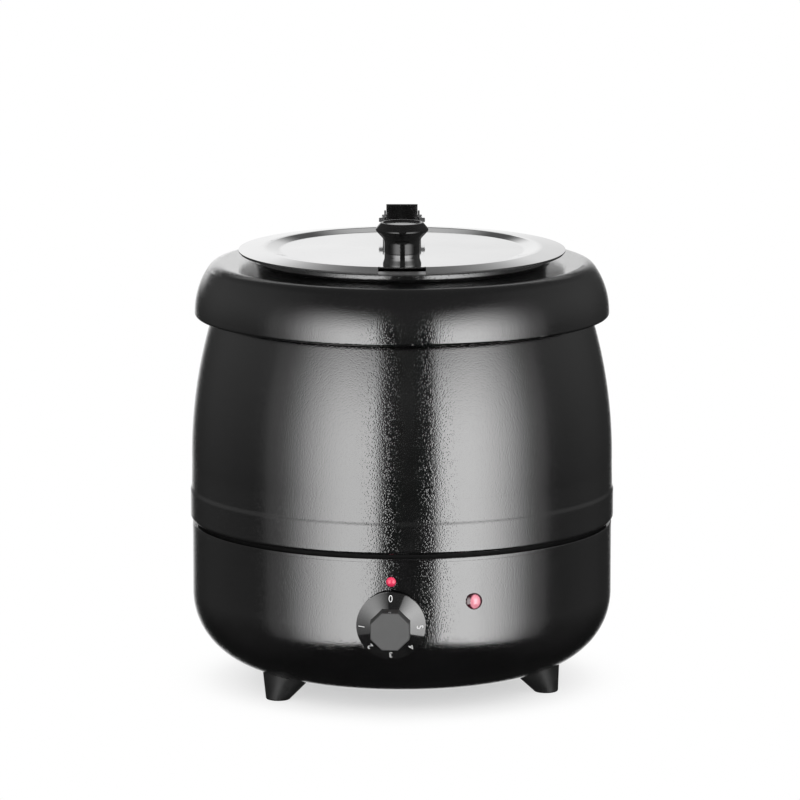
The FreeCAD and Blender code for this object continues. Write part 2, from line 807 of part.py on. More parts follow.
def hinge_base():
    low = pot_flange_z - hinge_base_wall
    front = hinge_rivet_places()[0][1] - hinge_base_lap / 2
    back = hinge_pin_y + hinge_knuckle_radius
    tongue = block((-hinge_ear_outer, hinge_ear_outer), (front, back), (low, pot_flange_z))
    ears = ear_pair(hinge_ear_inner, hinge_ear_outer, hinge_pin_y, 2 * hinge_knuckle_radius, low, hinge_pin_z)
    cuts = at_places(drill(rivet_radius + nut_gap, low, pot_flange_z), hinge_rivet_places())
    cuts.append(cross_bar(hinge_pin_radius + running_gap, hinge_ear_outer + cut_past,
                          hinge_pin_y, hinge_pin_z))
    return less(tongue.fuse(ears).removeSplitter(), cuts)


def hinge_base_rivets():
    return group(at_places(flush_rivet(), hinge_rivet_places()))


def hinge_pin():
    return cross_bar(hinge_pin_radius, hinge_ear_outer + hinge_pin_reach, hinge_pin_y, hinge_pin_z)


def lid_disc():
    outline = rounded([(lid_radius, lid_edge_z, 0), (lid_ridge_radius, lid_ridge_z, lid_ridge_round),
                       (lid_disc_radius, lid_disc_z, lid_disc_round), (0, lid_disc_z, 0)])
    low = lid_disc_z - lid_wall
    front = -lid_radius - notch_corner - cut_past
    notch_span = (front, -lid_disc_radius - notch_land)
    notch = block(pair(notch_width), notch_span, (low - cut_past, lid_ridge_z + cut_past))
    corners = [edge for edge in upright_edges(notch) if edge.CenterOfMass.y > -lid_radius]
    cuts = [notch.makeFillet(notch_corner, corners)]
    cuts.append(drill(knob_screw_radius + bolt_gap, low, lid_disc_z, 0, -knob_forward))
    cuts += at_places(drill(rivet_radius + nut_gap, low, lid_disc_z), bracket_rivet_places())
    return less(outline.sheet(lid_wall), cuts)


def on_lid(shape):
    """Carries a piece of the knob from the origin to its place on the lid."""
    shape.translate(FreeCAD.Vector(0, -knob_forward, lid_disc_z))
    return shape


def knob_foot():
    bore = knob_screw_radius + bolt_gap
    outline = rounded([(bore, 0, 0), (knob_foot_radius, 0, 0),
                       (knob_foot_radius, knob_foot_edge, knob_foot_edge_round),
                       (knob_neck_radius, knob_foot_edge + knob_foot_rise, knob_foot_round),
                       (knob_neck_radius, knob_foot_height - knob_parting, 0),
                       (knob_neck_radius - knob_parting, knob_foot_height, 0), (bore, knob_foot_height, 0)])
    return on_lid(outline.turned())


def lid_knob():
    rim_z = knob_height - knob_rim_height
    screw_z = knob_foot_height + knob_screw_bite
    dish_r = knob_head_radius - knob_dish_margin
    dish_z = knob_height - knob_dish_depth
    outline = rounded([(0, screw_z, 0), (knob_screw_radius, screw_z, 0),
                       (knob_screw_radius, knob_foot_height, 0),
                       (knob_neck_radius - knob_parting, knob_foot_height, 0),
                       (knob_neck_radius, knob_foot_height + knob_parting, 0),
                       (knob_neck_radius, rim_z - knob_flare_height, knob_flare_round),
                       (knob_head_radius, rim_z, knob_rim_round),
                       (knob_head_radius - knob_rim_taper, knob_height, knob_rim_round),
                       (dish_r, knob_height, knob_dish_round),
                       (dish_r - knob_dish_slope, dish_z, knob_dish_round), (0, dish_z, 0)])
    return on_lid(outline.turned())


def knob_screw():
    seat = -lid_wall - knob_washer_height
    return on_lid(screw(knob_screw_radius, knob_screw_head_radius, seat - knob_screw_head_height, seat,
                        knob_foot_height + knob_screw_bite))


def knob_washer():
    bore = knob_screw_radius + bolt_gap
    return on_lid(ring(bore, knob_washer_radius, -lid_wall - knob_washer_height, -lid_wall))


def lid_bracket():
    top = lid_disc_z + bracket_wall
    floor = block((-bracket_outer, bracket_outer), (arm_front, bracket_back), (lid_disc_z, top))
    ears = ear_pair(bracket_inner, bracket_outer, cross_pin_y, ear_width, lid_disc_z, cross_pin_z)
    cuts = at_places(drill(rivet_radius + nut_gap, lid_disc_z, top), bracket_rivet_places())
    cuts.append(cross_bar(cross_pin_radius + running_gap, bracket_outer + cut_past, cross_pin_y, cross_pin_z))
    return less(floor.fuse(ears).removeSplitter(), cuts)


def lid_bracket_rivets():
    rivet = flat_rivet(lid_disc_z - lid_wall, lid_disc_z + bracket_wall)
    return group(at_places(rivet, bracket_rivet_places()))


def cross_pin():
    half_length = bracket_outer + cross_pin_reach
    pin = cross_bar(cross_pin_radius, half_length, cross_pin_y, cross_pin_z)
    ends = [edge for edge in pin.Edges if edge.BoundBox.XLength < 1e-3]
    return pin.makeChamfer(cross_pin_chamfer, ends)


def hinge_arm():
    """The black block on the lid, with a tail that runs over the rim to the hinge pin."""
    foot_z = lid_disc_z + bracket_wall
    top_z = lid_disc_z + arm_height
    tail_z = lid_ridge_z + arm_lift
    knuckle_z = hinge_pin_z + hinge_knuckle_radius
    side = rounded([(arm_front, foot_z, 0), (arm_front, top_z, arm_edge_round),
                    (hinge_pin_y - hinge_knuckle_radius, knuckle_z, arm_back_round),
                    (hinge_pin_y, knuckle_z, 0), (hinge_pin_y, tail_z, 0),
                    (bracket_back, tail_z, arm_step_round), (bracket_back, foot_z, 0),
                    (arm_front, foot_z, 0)])
    # The outline is drawn in the XZ plane and then turned to stand in the YZ plane.
    body = side.closed().extrude(FreeCAD.Vector(0, -arm_width, 0))
    body.rotate(FreeCAD.Vector(), up, 90)
    body.translate(FreeCAD.Vector(-arm_width / 2, 0, 0))
    knuckle = cross_bar(hinge_knuckle_radius, arm_width / 2, hinge_pin_y, hinge_pin_z)
    bosses = cross_bar(cross_pin_radius + arm_boss_wall, bracket_inner - rest_gap, cross_pin_y, cross_pin_z)
    cuts = [cross_bar(cross_pin_radius + running_gap, arm_width, cross_pin_y, cross_pin_z),
            cross_bar(hinge_pin_radius + running_gap, arm_width, hinge_pin_y, hinge_pin_z)]
    cuts += at_places(post(rivet_head_radius + rest_gap, foot_z, foot_z + rivet_head_height + rest_gap),
                      bracket_rivet_places())
    return less(body.fuse([knuckle, bosses]).removeSplitter(), cuts)


def on_dial(shape):
    """Carries a piece made from the back of the dial's skirt to its place."""
    shape.translate(up * dial_stand_off)
    return on_dial_axis(shape)


def drafted_grip(width, low, high):
    ends = [polygon(width, grip_sides, low), polygon(width - grip_draft, grip_sides, high)]
    return Part.makeLoft(ends, True, True)


def dial_knob():
    """A hollow moulding: numbered cone, eight-sided grip with a pointer, and a hub for the shaft."""
    cone_z = dial_rim + dial_cone_height
    under_z = cone_z - dial_wall
    face_under_z = dial_depth - dial_wall
    skirt = Outline(0, 0).line(dial_radius, 0).line(dial_radius, dial_rim)
    skirt.line(dial_cone_top_radius, cone_z).line(0, cone_z)
    grip = drafted_grip(grip_width, cone_z - grip_root, dial_depth)
    face_edges = [edge for edge in grip.Edges if edge.BoundBox.ZMin > dial_depth - 1e-3]
    grip = grip.makeChamfer(grip_edge, face_edges)
    hollow = Outline(0, 0).line(dial_radius - dial_wall, 0)
    hollow.line(dial_cone_top_radius - dial_wall, under_z).line(0, under_z)
    core = drafted_grip(grip_width - 2 * dial_wall, under_z - grip_root, face_under_z)
    hub = post(hub_radius, 0, face_under_z + grip_root)
    bore = shaft_section(shaft_radius + seat_gap).extrude(up * (shaft_grip + seat_gap))
    clip_groove = ring(clip_bore, clip_bore + clip_wall + 2 * seat_gap, 0,
                       shaft_grip - clip_shorter + seat_gap)
    flat_y = (grip_width - grip_draft) / 2
    pointer = block(pair(pointer_width), (flat_y - dial_wall, flat_y + pointer_proud),
                    (dial_depth - grip_edge - pointer_length, dial_depth - grip_edge))
    moulding = skirt.turned().fuse([grip, pointer]).removeSplitter()
    moulding = moulding.cut(hollow.turned().fuse(core)).fuse(hub)
    return on_dial(less(moulding, [bore, clip_groove]))


def shaft_section(radius):
    """A round face with one flat, as on a thermostat shaft."""
    disc = Part.Face(Part.Wire(Part.Circle(FreeCAD.Vector(), up, radius).toShape()))
    off = Part.makePlane(2 * radius, 2 * radius, FreeCAD.Vector(-radius, radius - shaft_flat, 0))
    return disc.cut(off).Faces[0]


def thermostat_face():
    """Front of the thermostat, behind the bracket that spans the curved wall."""
    fall = bow(bowl_inner_radius, thermostat_bracket_width / 2)
    return -shell_wall - fall - thermostat_bracket_wall - 2 * seat_gap


def thermostat_shaft():
    back = thermostat_face() - thermostat_depth / 2
    flat_part = shaft_section(shaft_radius).extrude(up * shaft_grip)
    flat_part.translate(up * dial_stand_off)
    return on_dial_axis(post(shaft_radius, back, dial_stand_off).fuse(flat_part).removeSplitter())


def dial_clip():
    inner = clip_bore + seat_gap
    high = shaft_grip - clip_shorter
    slit = block(pair(clip_slit), (-2 * hub_radius, 0), (-cut_past, high + cut_past))
    return on_dial(ring(inner, inner + clip_wall, 0, high).cut(slit))


def thermostat_body():
    face = thermostat_face()
    back = face - thermostat_depth
    case = plate(thermostat_width, thermostat_height, (back, face))
    case = case.makeFillet(thermostat_corner, upright_edges(case))
    tabs = [plate(tab_width, tab_wall, (back - tab_length, back), x) for x in pair(thermostat_tab_spacing)]
    body = case.fuse([post(bush_radius, face, 0)] + tabs).removeSplitter()
    cuts = [drill(shaft_radius + running_gap, face - thermostat_depth / 2 + cut_past - rest_gap, 0)]
    cuts += [drill(thermostat_screw_radius, face - thermostat_screw_bite + cut_past, face, x)
             for x in pair(thermostat_screw_spacing)]
    return on_dial_axis(less(body, cuts))


def thermostat_bracket():
    face = thermostat_face()
    front = face + thermostat_bracket_wall
    sheet = plate(thermostat_bracket_width, thermostat_bracket_height, (face, front))
    cuts = [drill(bush_radius + bolt_gap, face, front)]
    cuts += [drill(thermostat_screw_radius + bolt_gap, face, front, x)
             for x in pair(thermostat_screw_spacing)]
    return on_dial_axis(less(sheet, cuts)).common(bowl_body(-shell_wall - rest_gap))


def thermostat_screws():
    """Flat-headed screws under the dial's skirt, clear of the wall's bow and of its tilt."""
    head_radius = flat_head_share * thermostat_screw_radius
    nearest = thermostat_screw_spacing / 2 - head_radius
    low = head_radius * math.sin(math.radians(control_tilt)) - bow(bowl_radius, nearest) + seat_gap
    one = screw(thermostat_screw_radius, head_radius, low, low + thermostat_screw_head,
                thermostat_face() - thermostat_screw_bite)
    places = [(x, 0) for x in pair(thermostat_screw_spacing)]
    return group([on_dial_axis(copy) for copy in at_places(one, places)])


def bulb_front_y():
    return bulb_front_gap - element_radius


def capillary_bulb():
    """The sensing bulb under the tank and the thin tube that joins it to the thermostat."""
    bulb_z = tank_bottom_z - bulb_radius - seat_gap
    clips_z = tank_bottom_z - 2 * (element_tube_radius + seat_gap) - clip_strap_wall
    run_z = clips_z - capillary_gap - capillary_radius
    back = thermostat_face() - thermostat_depth
    entry = on_dial_axis(Part.Vertex(0, 0, back)).Point
    exit_end = on_dial_axis(Part.Vertex(0, 0, back - capillary_exit)).Point
    start = FreeCAD.Vector(-bulb_side, bulb_front_y(), bulb_z)
    drop_y = bulb_front_y() - bulb_lead
    points = [start, FreeCAD.Vector(-bulb_side, drop_y, bulb_z), FreeCAD.Vector(-bulb_side, drop_y, run_z),
              FreeCAD.Vector(exit_end.x, exit_end.y + capillary_climb, run_z), exit_end, entry]
    tube = tube_along(bent_path(points, capillary_bend), capillary_radius, start, FreeCAD.Vector(0, -1, 0))
    bulb = Part.makeCylinder(bulb_radius, bulb_length, start, FreeCAD.Vector(0, 1, 0))
    return bulb.fuse(tube).removeSplitter()


def clip_stud_offset(tube_radius):
    return tube_radius + clip_gap + clip_strap_wall + clip_foot / 2


def strap_clip(tube_radius):
    """A hat-shaped strap that holds a tube along Y up against a flat face at Z = 0."""
    half = tube_radius + clip_gap
    deep = -2 * (tube_radius + seat_gap)
    reach = half + clip_strap_wall + clip_foot
    hat = Outline(-reach, 0).line(-half, 0).line(-half, deep).line(half, deep).line(half, 0).line(reach, 0)
    strap = hat.band(-clip_strap_wall).extrude(FreeCAD.Vector(0, clip_width, 0))
    strap.translate(FreeCAD.Vector(0, -clip_width / 2, 0))
    holes = [drill(stud_radius + bolt_gap, -clip_strap_wall, 0, x)
             for x in pair(2 * clip_stud_offset(tube_radius))]
    return less(strap, holes)


def at_element_clips(shape):
    """Copies of a shape made at the origin for a tube along Y, under the element's ring."""
    shape.rotate(FreeCAD.Vector(), up, 90)
    shape.translate(up * tank_bottom_z)
    return around(shape, even(hanger_count), element_radius)


def at_bulb_clip(shape):
    shape.translate(FreeCAD.Vector(-bulb_side, bulb_front_y() + bulb_length / 2, tank_bottom_z))
    return shape


def element_clips():
    return group(at_element_clips(strap_clip(element_tube_radius)))


def bulb_clip():
    return at_bulb_clip(strap_clip(bulb_radius))


def clip_hardware(piece):
    """A copy of a stud or a nut at each foot of every clip."""
    made = []
    for side in (-1, 1):
        made += at_element_clips(at_places(piece, [(side * clip_stud_offset(element_tube_radius), 0)])[0])
        made.append(at_bulb_clip(at_places(piece, [(side * clip_stud_offset(bulb_radius), 0)])[0]))
    return group(made)


def clip_studs():
    return clip_hardware(post(stud_radius, -stud_length, 0))


def clip_nuts():
    return clip_hardware(hex_nut(stud_radius, -clip_strap_wall - nut_height(stud_radius)))


def element_tails():
    """Azimuth of each end of the element's open ring, and the way its tail leaves there."""
    return [(180 - element_gap_angle / 2, 1), (180 + element_gap_angle / 2, -1)]


def tail_heading(azimuth, way):
    angle = math.radians(azimuth)
    return FreeCAD.Vector(math.cos(angle), math.sin(angle), 0) * way


def tail_point(azimuth, way, z):
    """A point on the upright stretch of a tail."""
    return polar(azimuth, element_radius, z) + tail_heading(azimuth, way) * element_bend


def tail_edges(azimuth, way):
    """The bend and the straight end of one tail, from the ring outwards."""
    half = math.radians(45)
    begin = polar(azimuth, element_radius, element_z)
    across = tail_heading(azimuth, way) * (element_bend * math.sin(half))
    middle = begin + across - up * (element_bend * (1 - math.cos(half)))
    end = tail_point(azimuth, way, element_z - element_bend)
    tip = end - up * element_tail
    return [Part.Arc(begin, middle, end).toShape(), Part.LineSegment(end, tip).toShape()]


def heating_element():
    """An open ring of sheathed tube whose two tails turn down through the heat shield."""
    (first, first_way), (last, last_way) = element_tails()
    ring_edge = Part.Arc(polar(last, element_radius, element_z), polar(0, element_radius, element_z),
                         polar(first, element_radius, element_z)).toShape()
    path = Part.Wire(tail_edges(last, last_way)[::-1] + [ring_edge] + tail_edges(first, first_way))
    low = element_z - element_bend - element_tail
    tube = tube_along(path, element_tube_radius, tail_point(last, last_way, low), up)
    pins = [Part.makeCylinder(element_pin_radius, element_pin_length, tail_point(azimuth, way, low), -up)
            for azimuth, way in element_tails()]
    return tube.fuse(pins).removeSplitter()


def shield_azimuths():
    return even(hanger_count, 180.0 / hanger_count)


def heat_shield():
    low = shield_top_z - shield_wall
    stud_hole = drill(shield_stud_radius + bolt_gap, low, shield_top_z)
    cuts = around(stud_hole, shield_azimuths(), shield_stud_circle)
    for azimuth, way in element_tails():
        tail = tail_point(azimuth, way, 0)
        cuts.append(drill(element_tube_radius + shield_hole_gap, low, shield_top_z, tail.x, tail.y))
    return less(post(shield_radius, low, shield_top_z), cuts)


def shield_studs():
    low = shield_top_z - shield_wall - bolt_end_share * shield_stud_radius
    return group(around(post(shield_stud_radius, low, tank_bottom_z), shield_azimuths(), shield_stud_circle))


def shield_spacers():
    bore = shield_stud_radius + seat_gap
    spacer = ring(bore, bore + shield_spacer_wall, shield_top_z, tank_bottom_z)
    return group(around(spacer, shield_azimuths(), shield_stud_circle))


def shield_nuts():
    nut = hex_nut(shield_stud_radius, shield_top_z - shield_wall - nut_height(shield_stud_radius))
    return group(around(nut, shield_azimuths(), shield_stud_circle))


def cutout_places():
    return [(cutout_side, y) for y in pair(cutout_flange_length - 2 * cutout_screw_edge)]


def thermal_cutout():
    """A snap-disc cut-out held flat against the tank."""
    flange_z = tank_bottom_z - cutout_flange_wall
    low = tank_bottom_z - cutout_height
    flange = plate(cutout_flange_width, cutout_flange_length, (flange_z, tank_bottom_z), cutout_side)
    can = post(cutout_radius, low, tank_bottom_z, cutout_side)
    tabs = [plate(tab_wall, tab_width, (low - tab_length, low), cutout_side + x)
            for x in pair(cutout_tab_spacing)]
    body = can.fuse([flange] + tabs).removeSplitter()
    return less(body, at_places(drill(stud_radius + bolt_gap, flange_z, tank_bottom_z), cutout_places()))


def cutout_nuts():
    nut = hex_nut(stud_radius, tank_bottom_z - cutout_flange_wall - nut_height(stud_radius))
    return group(at_places(nut, cutout_places()))


def cutout_studs():
    return group(at_places(post(stud_radius, tank_bottom_z - stud_length, tank_bottom_z), cutout_places()))


def dome(outline, radius, height):
    """Ends an outline on the axis with a round dome, from its rim at the given radius."""
    curve = (radius ** 2 + height ** 2) / (2 * height)
    outline.turn((0, outline.at[1] + height - curve), math.degrees(math.asin(radius / curve)))
    return outline


def pilot_lamp_lens():
    outline = Outline(0, -shell_wall).line(lamp_shank_radius, -shell_wall).line(lamp_shank_radius, seat_gap)
    outline.line(lamp_radius, seat_gap).line(lamp_radius, lamp_rim)
    return on_wall(dome(outline, lamp_radius, lamp_dome).turned(), lamp_azimuth, seam_z - lamp_drop)


def pilot_lamp_body():
    case_top = nut_face(lamp_nut_width) - lamp_nut_height - lamp_neck
    low = case_top - lamp_body_length
    neck = post(lamp_shank_radius, case_top, -shell_wall - seat_gap)
    tabs = [plate(tab_wall, tab_width, (low - tab_length, low), x) for x in pair(lamp_tab_spacing)]
    body = neck.fuse([post(lamp_body_radius, low, case_top)] + tabs).removeSplitter()
    return on_wall(body, lamp_azimuth, seam_z - lamp_drop)


def wall_nut(width, bore_radius, height):
    """A flat hexagon nut seated inside the bowl's wall."""
    high = nut_face(width)
    return prism(width, 6, high - height, high).cut(drill(bore_radius, high - height, high))


def pilot_lamp_nut():
    nut = wall_nut(lamp_nut_width, lamp_shank_radius + nut_gap, lamp_nut_height)
    return on_wall(nut, lamp_azimuth, seam_z - lamp_drop)


def dial_index():
    """The domed red stud above the dial, pushed through the wall."""
    tip = -index_shank_length
    outline = Outline(0, tip).line(index_shank_radius - index_tip_taper, tip)
    outline.line(index_shank_radius, tip + index_tip_length).line(index_shank_radius, seat_gap)
    outline.line(index_radius, seat_gap)
    return on_wall(dome(outline, index_radius, index_dome).turned(), control_azimuth, seam_z - index_drop)


def block_screw_places():
    return [(x, block_back) for x in pair(block_screw_spacing)]


def base_plate():
    """The vented plate under the opening, which also carries the terminal block."""
    cut_span = (base_plate_z - cut_past, underside_height + cut_past)
    slot = block(pair(vent_width), (-vent_outer, -vent_inner), cut_span)
    ends = [post(vent_width / 2, *cut_span, 0, y) for y in (-vent_outer, -vent_inner)]
    cuts = around(slot.fuse(ends).removeSplitter(), even(vent_count, vent_first), 0)
    cuts += around(post(base_screw_radius + seat_gap, *cut_span), base_screw_azimuths(), base_screw_circle)
    cuts += at_places(post(block_screw_radius + seat_gap, *cut_span), block_screw_places())
    return less(post(base_plate_radius, base_plate_z, underside_height), cuts)


def base_plate_screws():
    one = screw(base_screw_radius, flat_head_share * base_screw_radius, base_plate_z - base_screw_head_height,
                base_plate_z, underside_height + shell_wall + base_screw_bite)
    return group(around(one, base_screw_azimuths(), base_screw_circle))


def terminal_block():
    """A moulded terminal strip with a screw well and a wire hole for each way."""
    low = underside_height
    high = low + block_height
    middle = low + block_height / 2
    body = plate(block_length, block_width, (low, high), 0, block_back)
    ways = [block_pitch * (way - (block_ways - 1) / 2) for way in range(block_ways)]
    cuts = [drill(block_well_radius, middle + cut_past, high, x, block_back) for x in ways]
    wire_holes = [FreeCAD.Vector(x, block_back - block_width, middle) for x in ways]
    cuts += [Part.makeCylinder(block_wire_radius, 2 * block_width, start, FreeCAD.Vector(0, 1, 0))
             for start in wire_holes]
    cuts += at_places(drill(block_screw_radius + seat_gap, low, high), block_screw_places())
    head_radius = flat_head_share * block_screw_radius + bolt_gap
    cuts += at_places(drill(head_radius, low + block_screw_seat + cut_past, high), block_screw_places())
    return less(body, cuts)


def terminal_block_screws():
    seat = underside_height + block_screw_seat
    one = screw(block_screw_radius, flat_head_share * block_screw_radius, seat, seat + block_screw_head,
                base_plate_z - block_screw_end)
    return group(at_places(one, block_screw_places()))


def cable_gland():
    """The cord inlet: a threaded body, a hexagon flange and a domed cap, open right through."""
    nose_low = seat_gap + gland_base
    nose_high = nose_low + gland_nose
    nose_radius = gland_width / 2 - gland_nose_inset
    nose = rounded([(0, nose_low, 0), (nose_radius, nose_low, 0), (nose_radius, nose_high, gland_nose_round),
                    (0, nose_high, 0)])
    flange = prism(gland_width, 6, seat_gap, nose_low)
    thread = post(gland_thread_radius, -gland_thread_length, nose_low)
    gland = nose.turned().fuse([flange, thread]).removeSplitter()
    gland = gland.cut(drill(gland_bore_radius, -gland_thread_length, nose_high))
    return on_wall(gland, gland_azimuth, seam_z - gland_drop)


def gland_nut():
    nut = wall_nut(gland_width, gland_thread_radius + nut_gap, gland_nut_height)
    return on_wall(nut, gland_azimuth, seam_z - gland_drop)


def foot(azimuth):
    """A splayed foot, upright on its outer side and trimmed to the bowl."""
    top_circle = foot_circle + foot_bottom_radius - foot_top_radius
    low_centre = FreeCAD.Vector(0, -foot_circle, 0)
    high_centre = FreeCAD.Vector(0, -top_circle, foot_top_height)
    low = Part.Wire(Part.Circle(low_centre, up, foot_bottom_radius).toShape())
    high = Part.Wire(Part.Circle(high_centre, up, foot_top_radius).toShape())
    head_radius = flat_head_share * foot_screw_radius + bolt_gap
    cuts = [drill(foot_screw_radius + bolt_gap, 0, foot_top_height, 0, -foot_screw_circle),
            drill(head_radius, 0, foot_recess - cut_past, 0, -foot_screw_circle), bowl_body(seat_gap)]
    splay = Part.makeLoft([low, high], True, True)
    splay = splay.makeFillet(foot_edge_round, [edge for edge in splay.Edges if edge.BoundBox.ZMax < 1e-3])
    shaped = less(splay, cuts)
    shaped.rotate(FreeCAD.Vector(), up, azimuth)
    return shaped


def foot_nut_z():
    """Seat of a foot's nut, clear of the bowl where it rises under the nut's outer corner."""
    corner = nut_width_share * foot_screw_radius / 2 / math.cos(math.pi / 6)
    return bowl_inside_z(foot_screw_circle + corner) + seat_gap


def foot_screws():
    one = screw(foot_screw_radius, flat_head_share * foot_screw_radius, foot_recess - foot_screw_head_height,
                foot_recess, foot_nut_z() + bolt_end_share * foot_screw_radius)
    return group(around(one, foot_azimuths.values(), foot_screw_circle))


def foot_nuts():
    return group(around(hex_nut(foot_screw_radius, foot_nut_z()), foot_azimuths.values(), foot_screw_circle))


makers = [lower_shell, seam_ring, seam_bolts, seam_nuts, mid_shell, shoulder_cap, cap_studs, cap_nuts,
          tank_gasket, water_tank, soup_pot, hinge_base, hinge_base_rivets, hinge_pin, lid_disc, knob_foot,
          lid_knob, knob_screw, knob_washer, lid_bracket, lid_bracket_rivets, cross_pin, hinge_arm, dial_knob,
          thermostat_shaft, dial_clip, thermostat_body, thermostat_bracket, thermostat_screws, capillary_bulb,
          element_clips, bulb_clip, clip_studs, clip_nuts, heating_element, heat_shield, shield_studs,
          shield_spacers, shield_nuts, thermal_cutout, cutout_studs, cutout_nuts, pilot_lamp_lens,
          pilot_lamp_body, pilot_lamp_nut, dial_index, base_plate, base_plate_screws, terminal_block,
          terminal_block_screws, cable_gland, gland_nut, foot_screws, foot_nuts]

pieces = {maker.__name__: maker() for maker in makers}
pieces.update({name: foot(azimuth) for name, azimuth in foot_azimuths.items()})

os.makedirs("parts", exist_ok=True)
for name, shape in pieces.items():
    shape.exportStep(f"parts/{name}.step")
    print(name, len(shape.Solids), round(shape.Volume), shape.isValid())
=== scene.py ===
"""Dresses the packed soup kettle: finishes, printed dial, fasteners, light and camera.

Lengths are metres in the frame of the packed model: Z is up and the dial's side faces -Y.
"""

import json
import logging
import math
from collections.abc import Iterable
from dataclasses import dataclass, field
from enum import Enum

import bmesh
import bpy
from mathutils import Matrix, Vector

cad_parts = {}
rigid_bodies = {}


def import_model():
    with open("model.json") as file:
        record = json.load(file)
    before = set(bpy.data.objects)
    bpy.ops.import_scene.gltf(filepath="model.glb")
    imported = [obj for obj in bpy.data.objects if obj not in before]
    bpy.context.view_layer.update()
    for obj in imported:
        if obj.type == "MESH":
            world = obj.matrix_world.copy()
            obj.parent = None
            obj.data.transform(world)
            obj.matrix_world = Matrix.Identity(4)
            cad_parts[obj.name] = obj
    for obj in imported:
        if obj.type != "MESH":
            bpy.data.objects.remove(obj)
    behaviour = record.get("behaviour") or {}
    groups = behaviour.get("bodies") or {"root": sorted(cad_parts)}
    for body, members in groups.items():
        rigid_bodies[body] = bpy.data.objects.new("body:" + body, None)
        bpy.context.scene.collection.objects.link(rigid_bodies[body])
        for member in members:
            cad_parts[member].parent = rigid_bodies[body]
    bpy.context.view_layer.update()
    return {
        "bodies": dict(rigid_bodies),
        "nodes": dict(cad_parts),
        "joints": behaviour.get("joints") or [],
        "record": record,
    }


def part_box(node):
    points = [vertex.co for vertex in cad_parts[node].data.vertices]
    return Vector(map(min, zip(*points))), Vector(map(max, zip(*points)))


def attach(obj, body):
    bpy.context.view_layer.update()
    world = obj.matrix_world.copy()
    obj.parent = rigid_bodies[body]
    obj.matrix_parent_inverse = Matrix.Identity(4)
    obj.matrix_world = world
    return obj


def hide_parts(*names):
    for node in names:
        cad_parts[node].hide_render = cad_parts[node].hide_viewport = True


Pair = tuple[float, float]
Triple = tuple[float, float, float]
Colour = Triple
Profile = list[Pair]
Socket = bpy.types.NodeSocket
Piece = bpy.types.Object

WHITE = (1.0, 1.0, 1.0, 1.0)
UPWARDS = (0.0, 0.0, 1.0)
IN_PLAN = (1.0, 1.0, 0.0)
# Clouds and polishing lines: the span of noise that is used, finer layers, and counts in a metre.
CLOUD_SPAN = (0.3, 0.7)
COLOUR_DETAIL = 5.0
DULLNESS_DETAIL = 6.0
DULLNESS_CLOUDS = 2.3
LINE_DETAIL = 4.0
LINES_OUTWARDS = 900.0
LINES_ACROSS = 1100.0
LINES_ALONG = 12.0
# Meshes: the sharpest smooth edge, how near points merge, and points up a dome.
SMOOTH_ANGLE = math.radians(32.0)
MERGE_REACH = 1e-6
DOME_STEPS = 7

log = logging.getLogger("soup_kettle")


class Body(Enum):
    """The packed bodies that pieces ride on."""

    KETTLE = "kettle"
    POT = "pot"
    LID = "lid"
    DIAL = "dial"


class Slot(Enum):
    """The record's material slots."""

    HAMMERED_BLACK = "hammered_black"
    MIRROR_STEEL = "mirror_steel"
    POT_STEEL = "pot_steel"
    BRIGHT_STEEL = "bright_steel"
    ZINC_STEEL = "zinc_steel"
    GALVANISED_SHEET = "galvanised_sheet"
    TANK_ALUMINIUM = "tank_aluminium"
    ELEMENT_SHEATH = "element_sheath"
    BLACK_GLOSS_PLASTIC = "black_gloss_plastic"
    FOOT_PLASTIC = "foot_plastic"
    SEAM_PLASTIC = "seam_plastic"
    INDEX_RED = "index_red"
    LAMP_LENS = "lamp_lens"
    DIAL_PRINT = "dial_print"
    GASKET_SILICONE = "gasket_silicone"
    COPPER = "copper"
    SWITCH_CASE = "switch_case"
    TERMINAL_PLASTIC = "terminal_plastic"


class Brush(Enum):
    """The way that polishing lines run on a metal."""

    ROUND_PLAN = "rings about the upright axis"
    LEVEL = "level lines round a wall"
    NONE = "no lines"


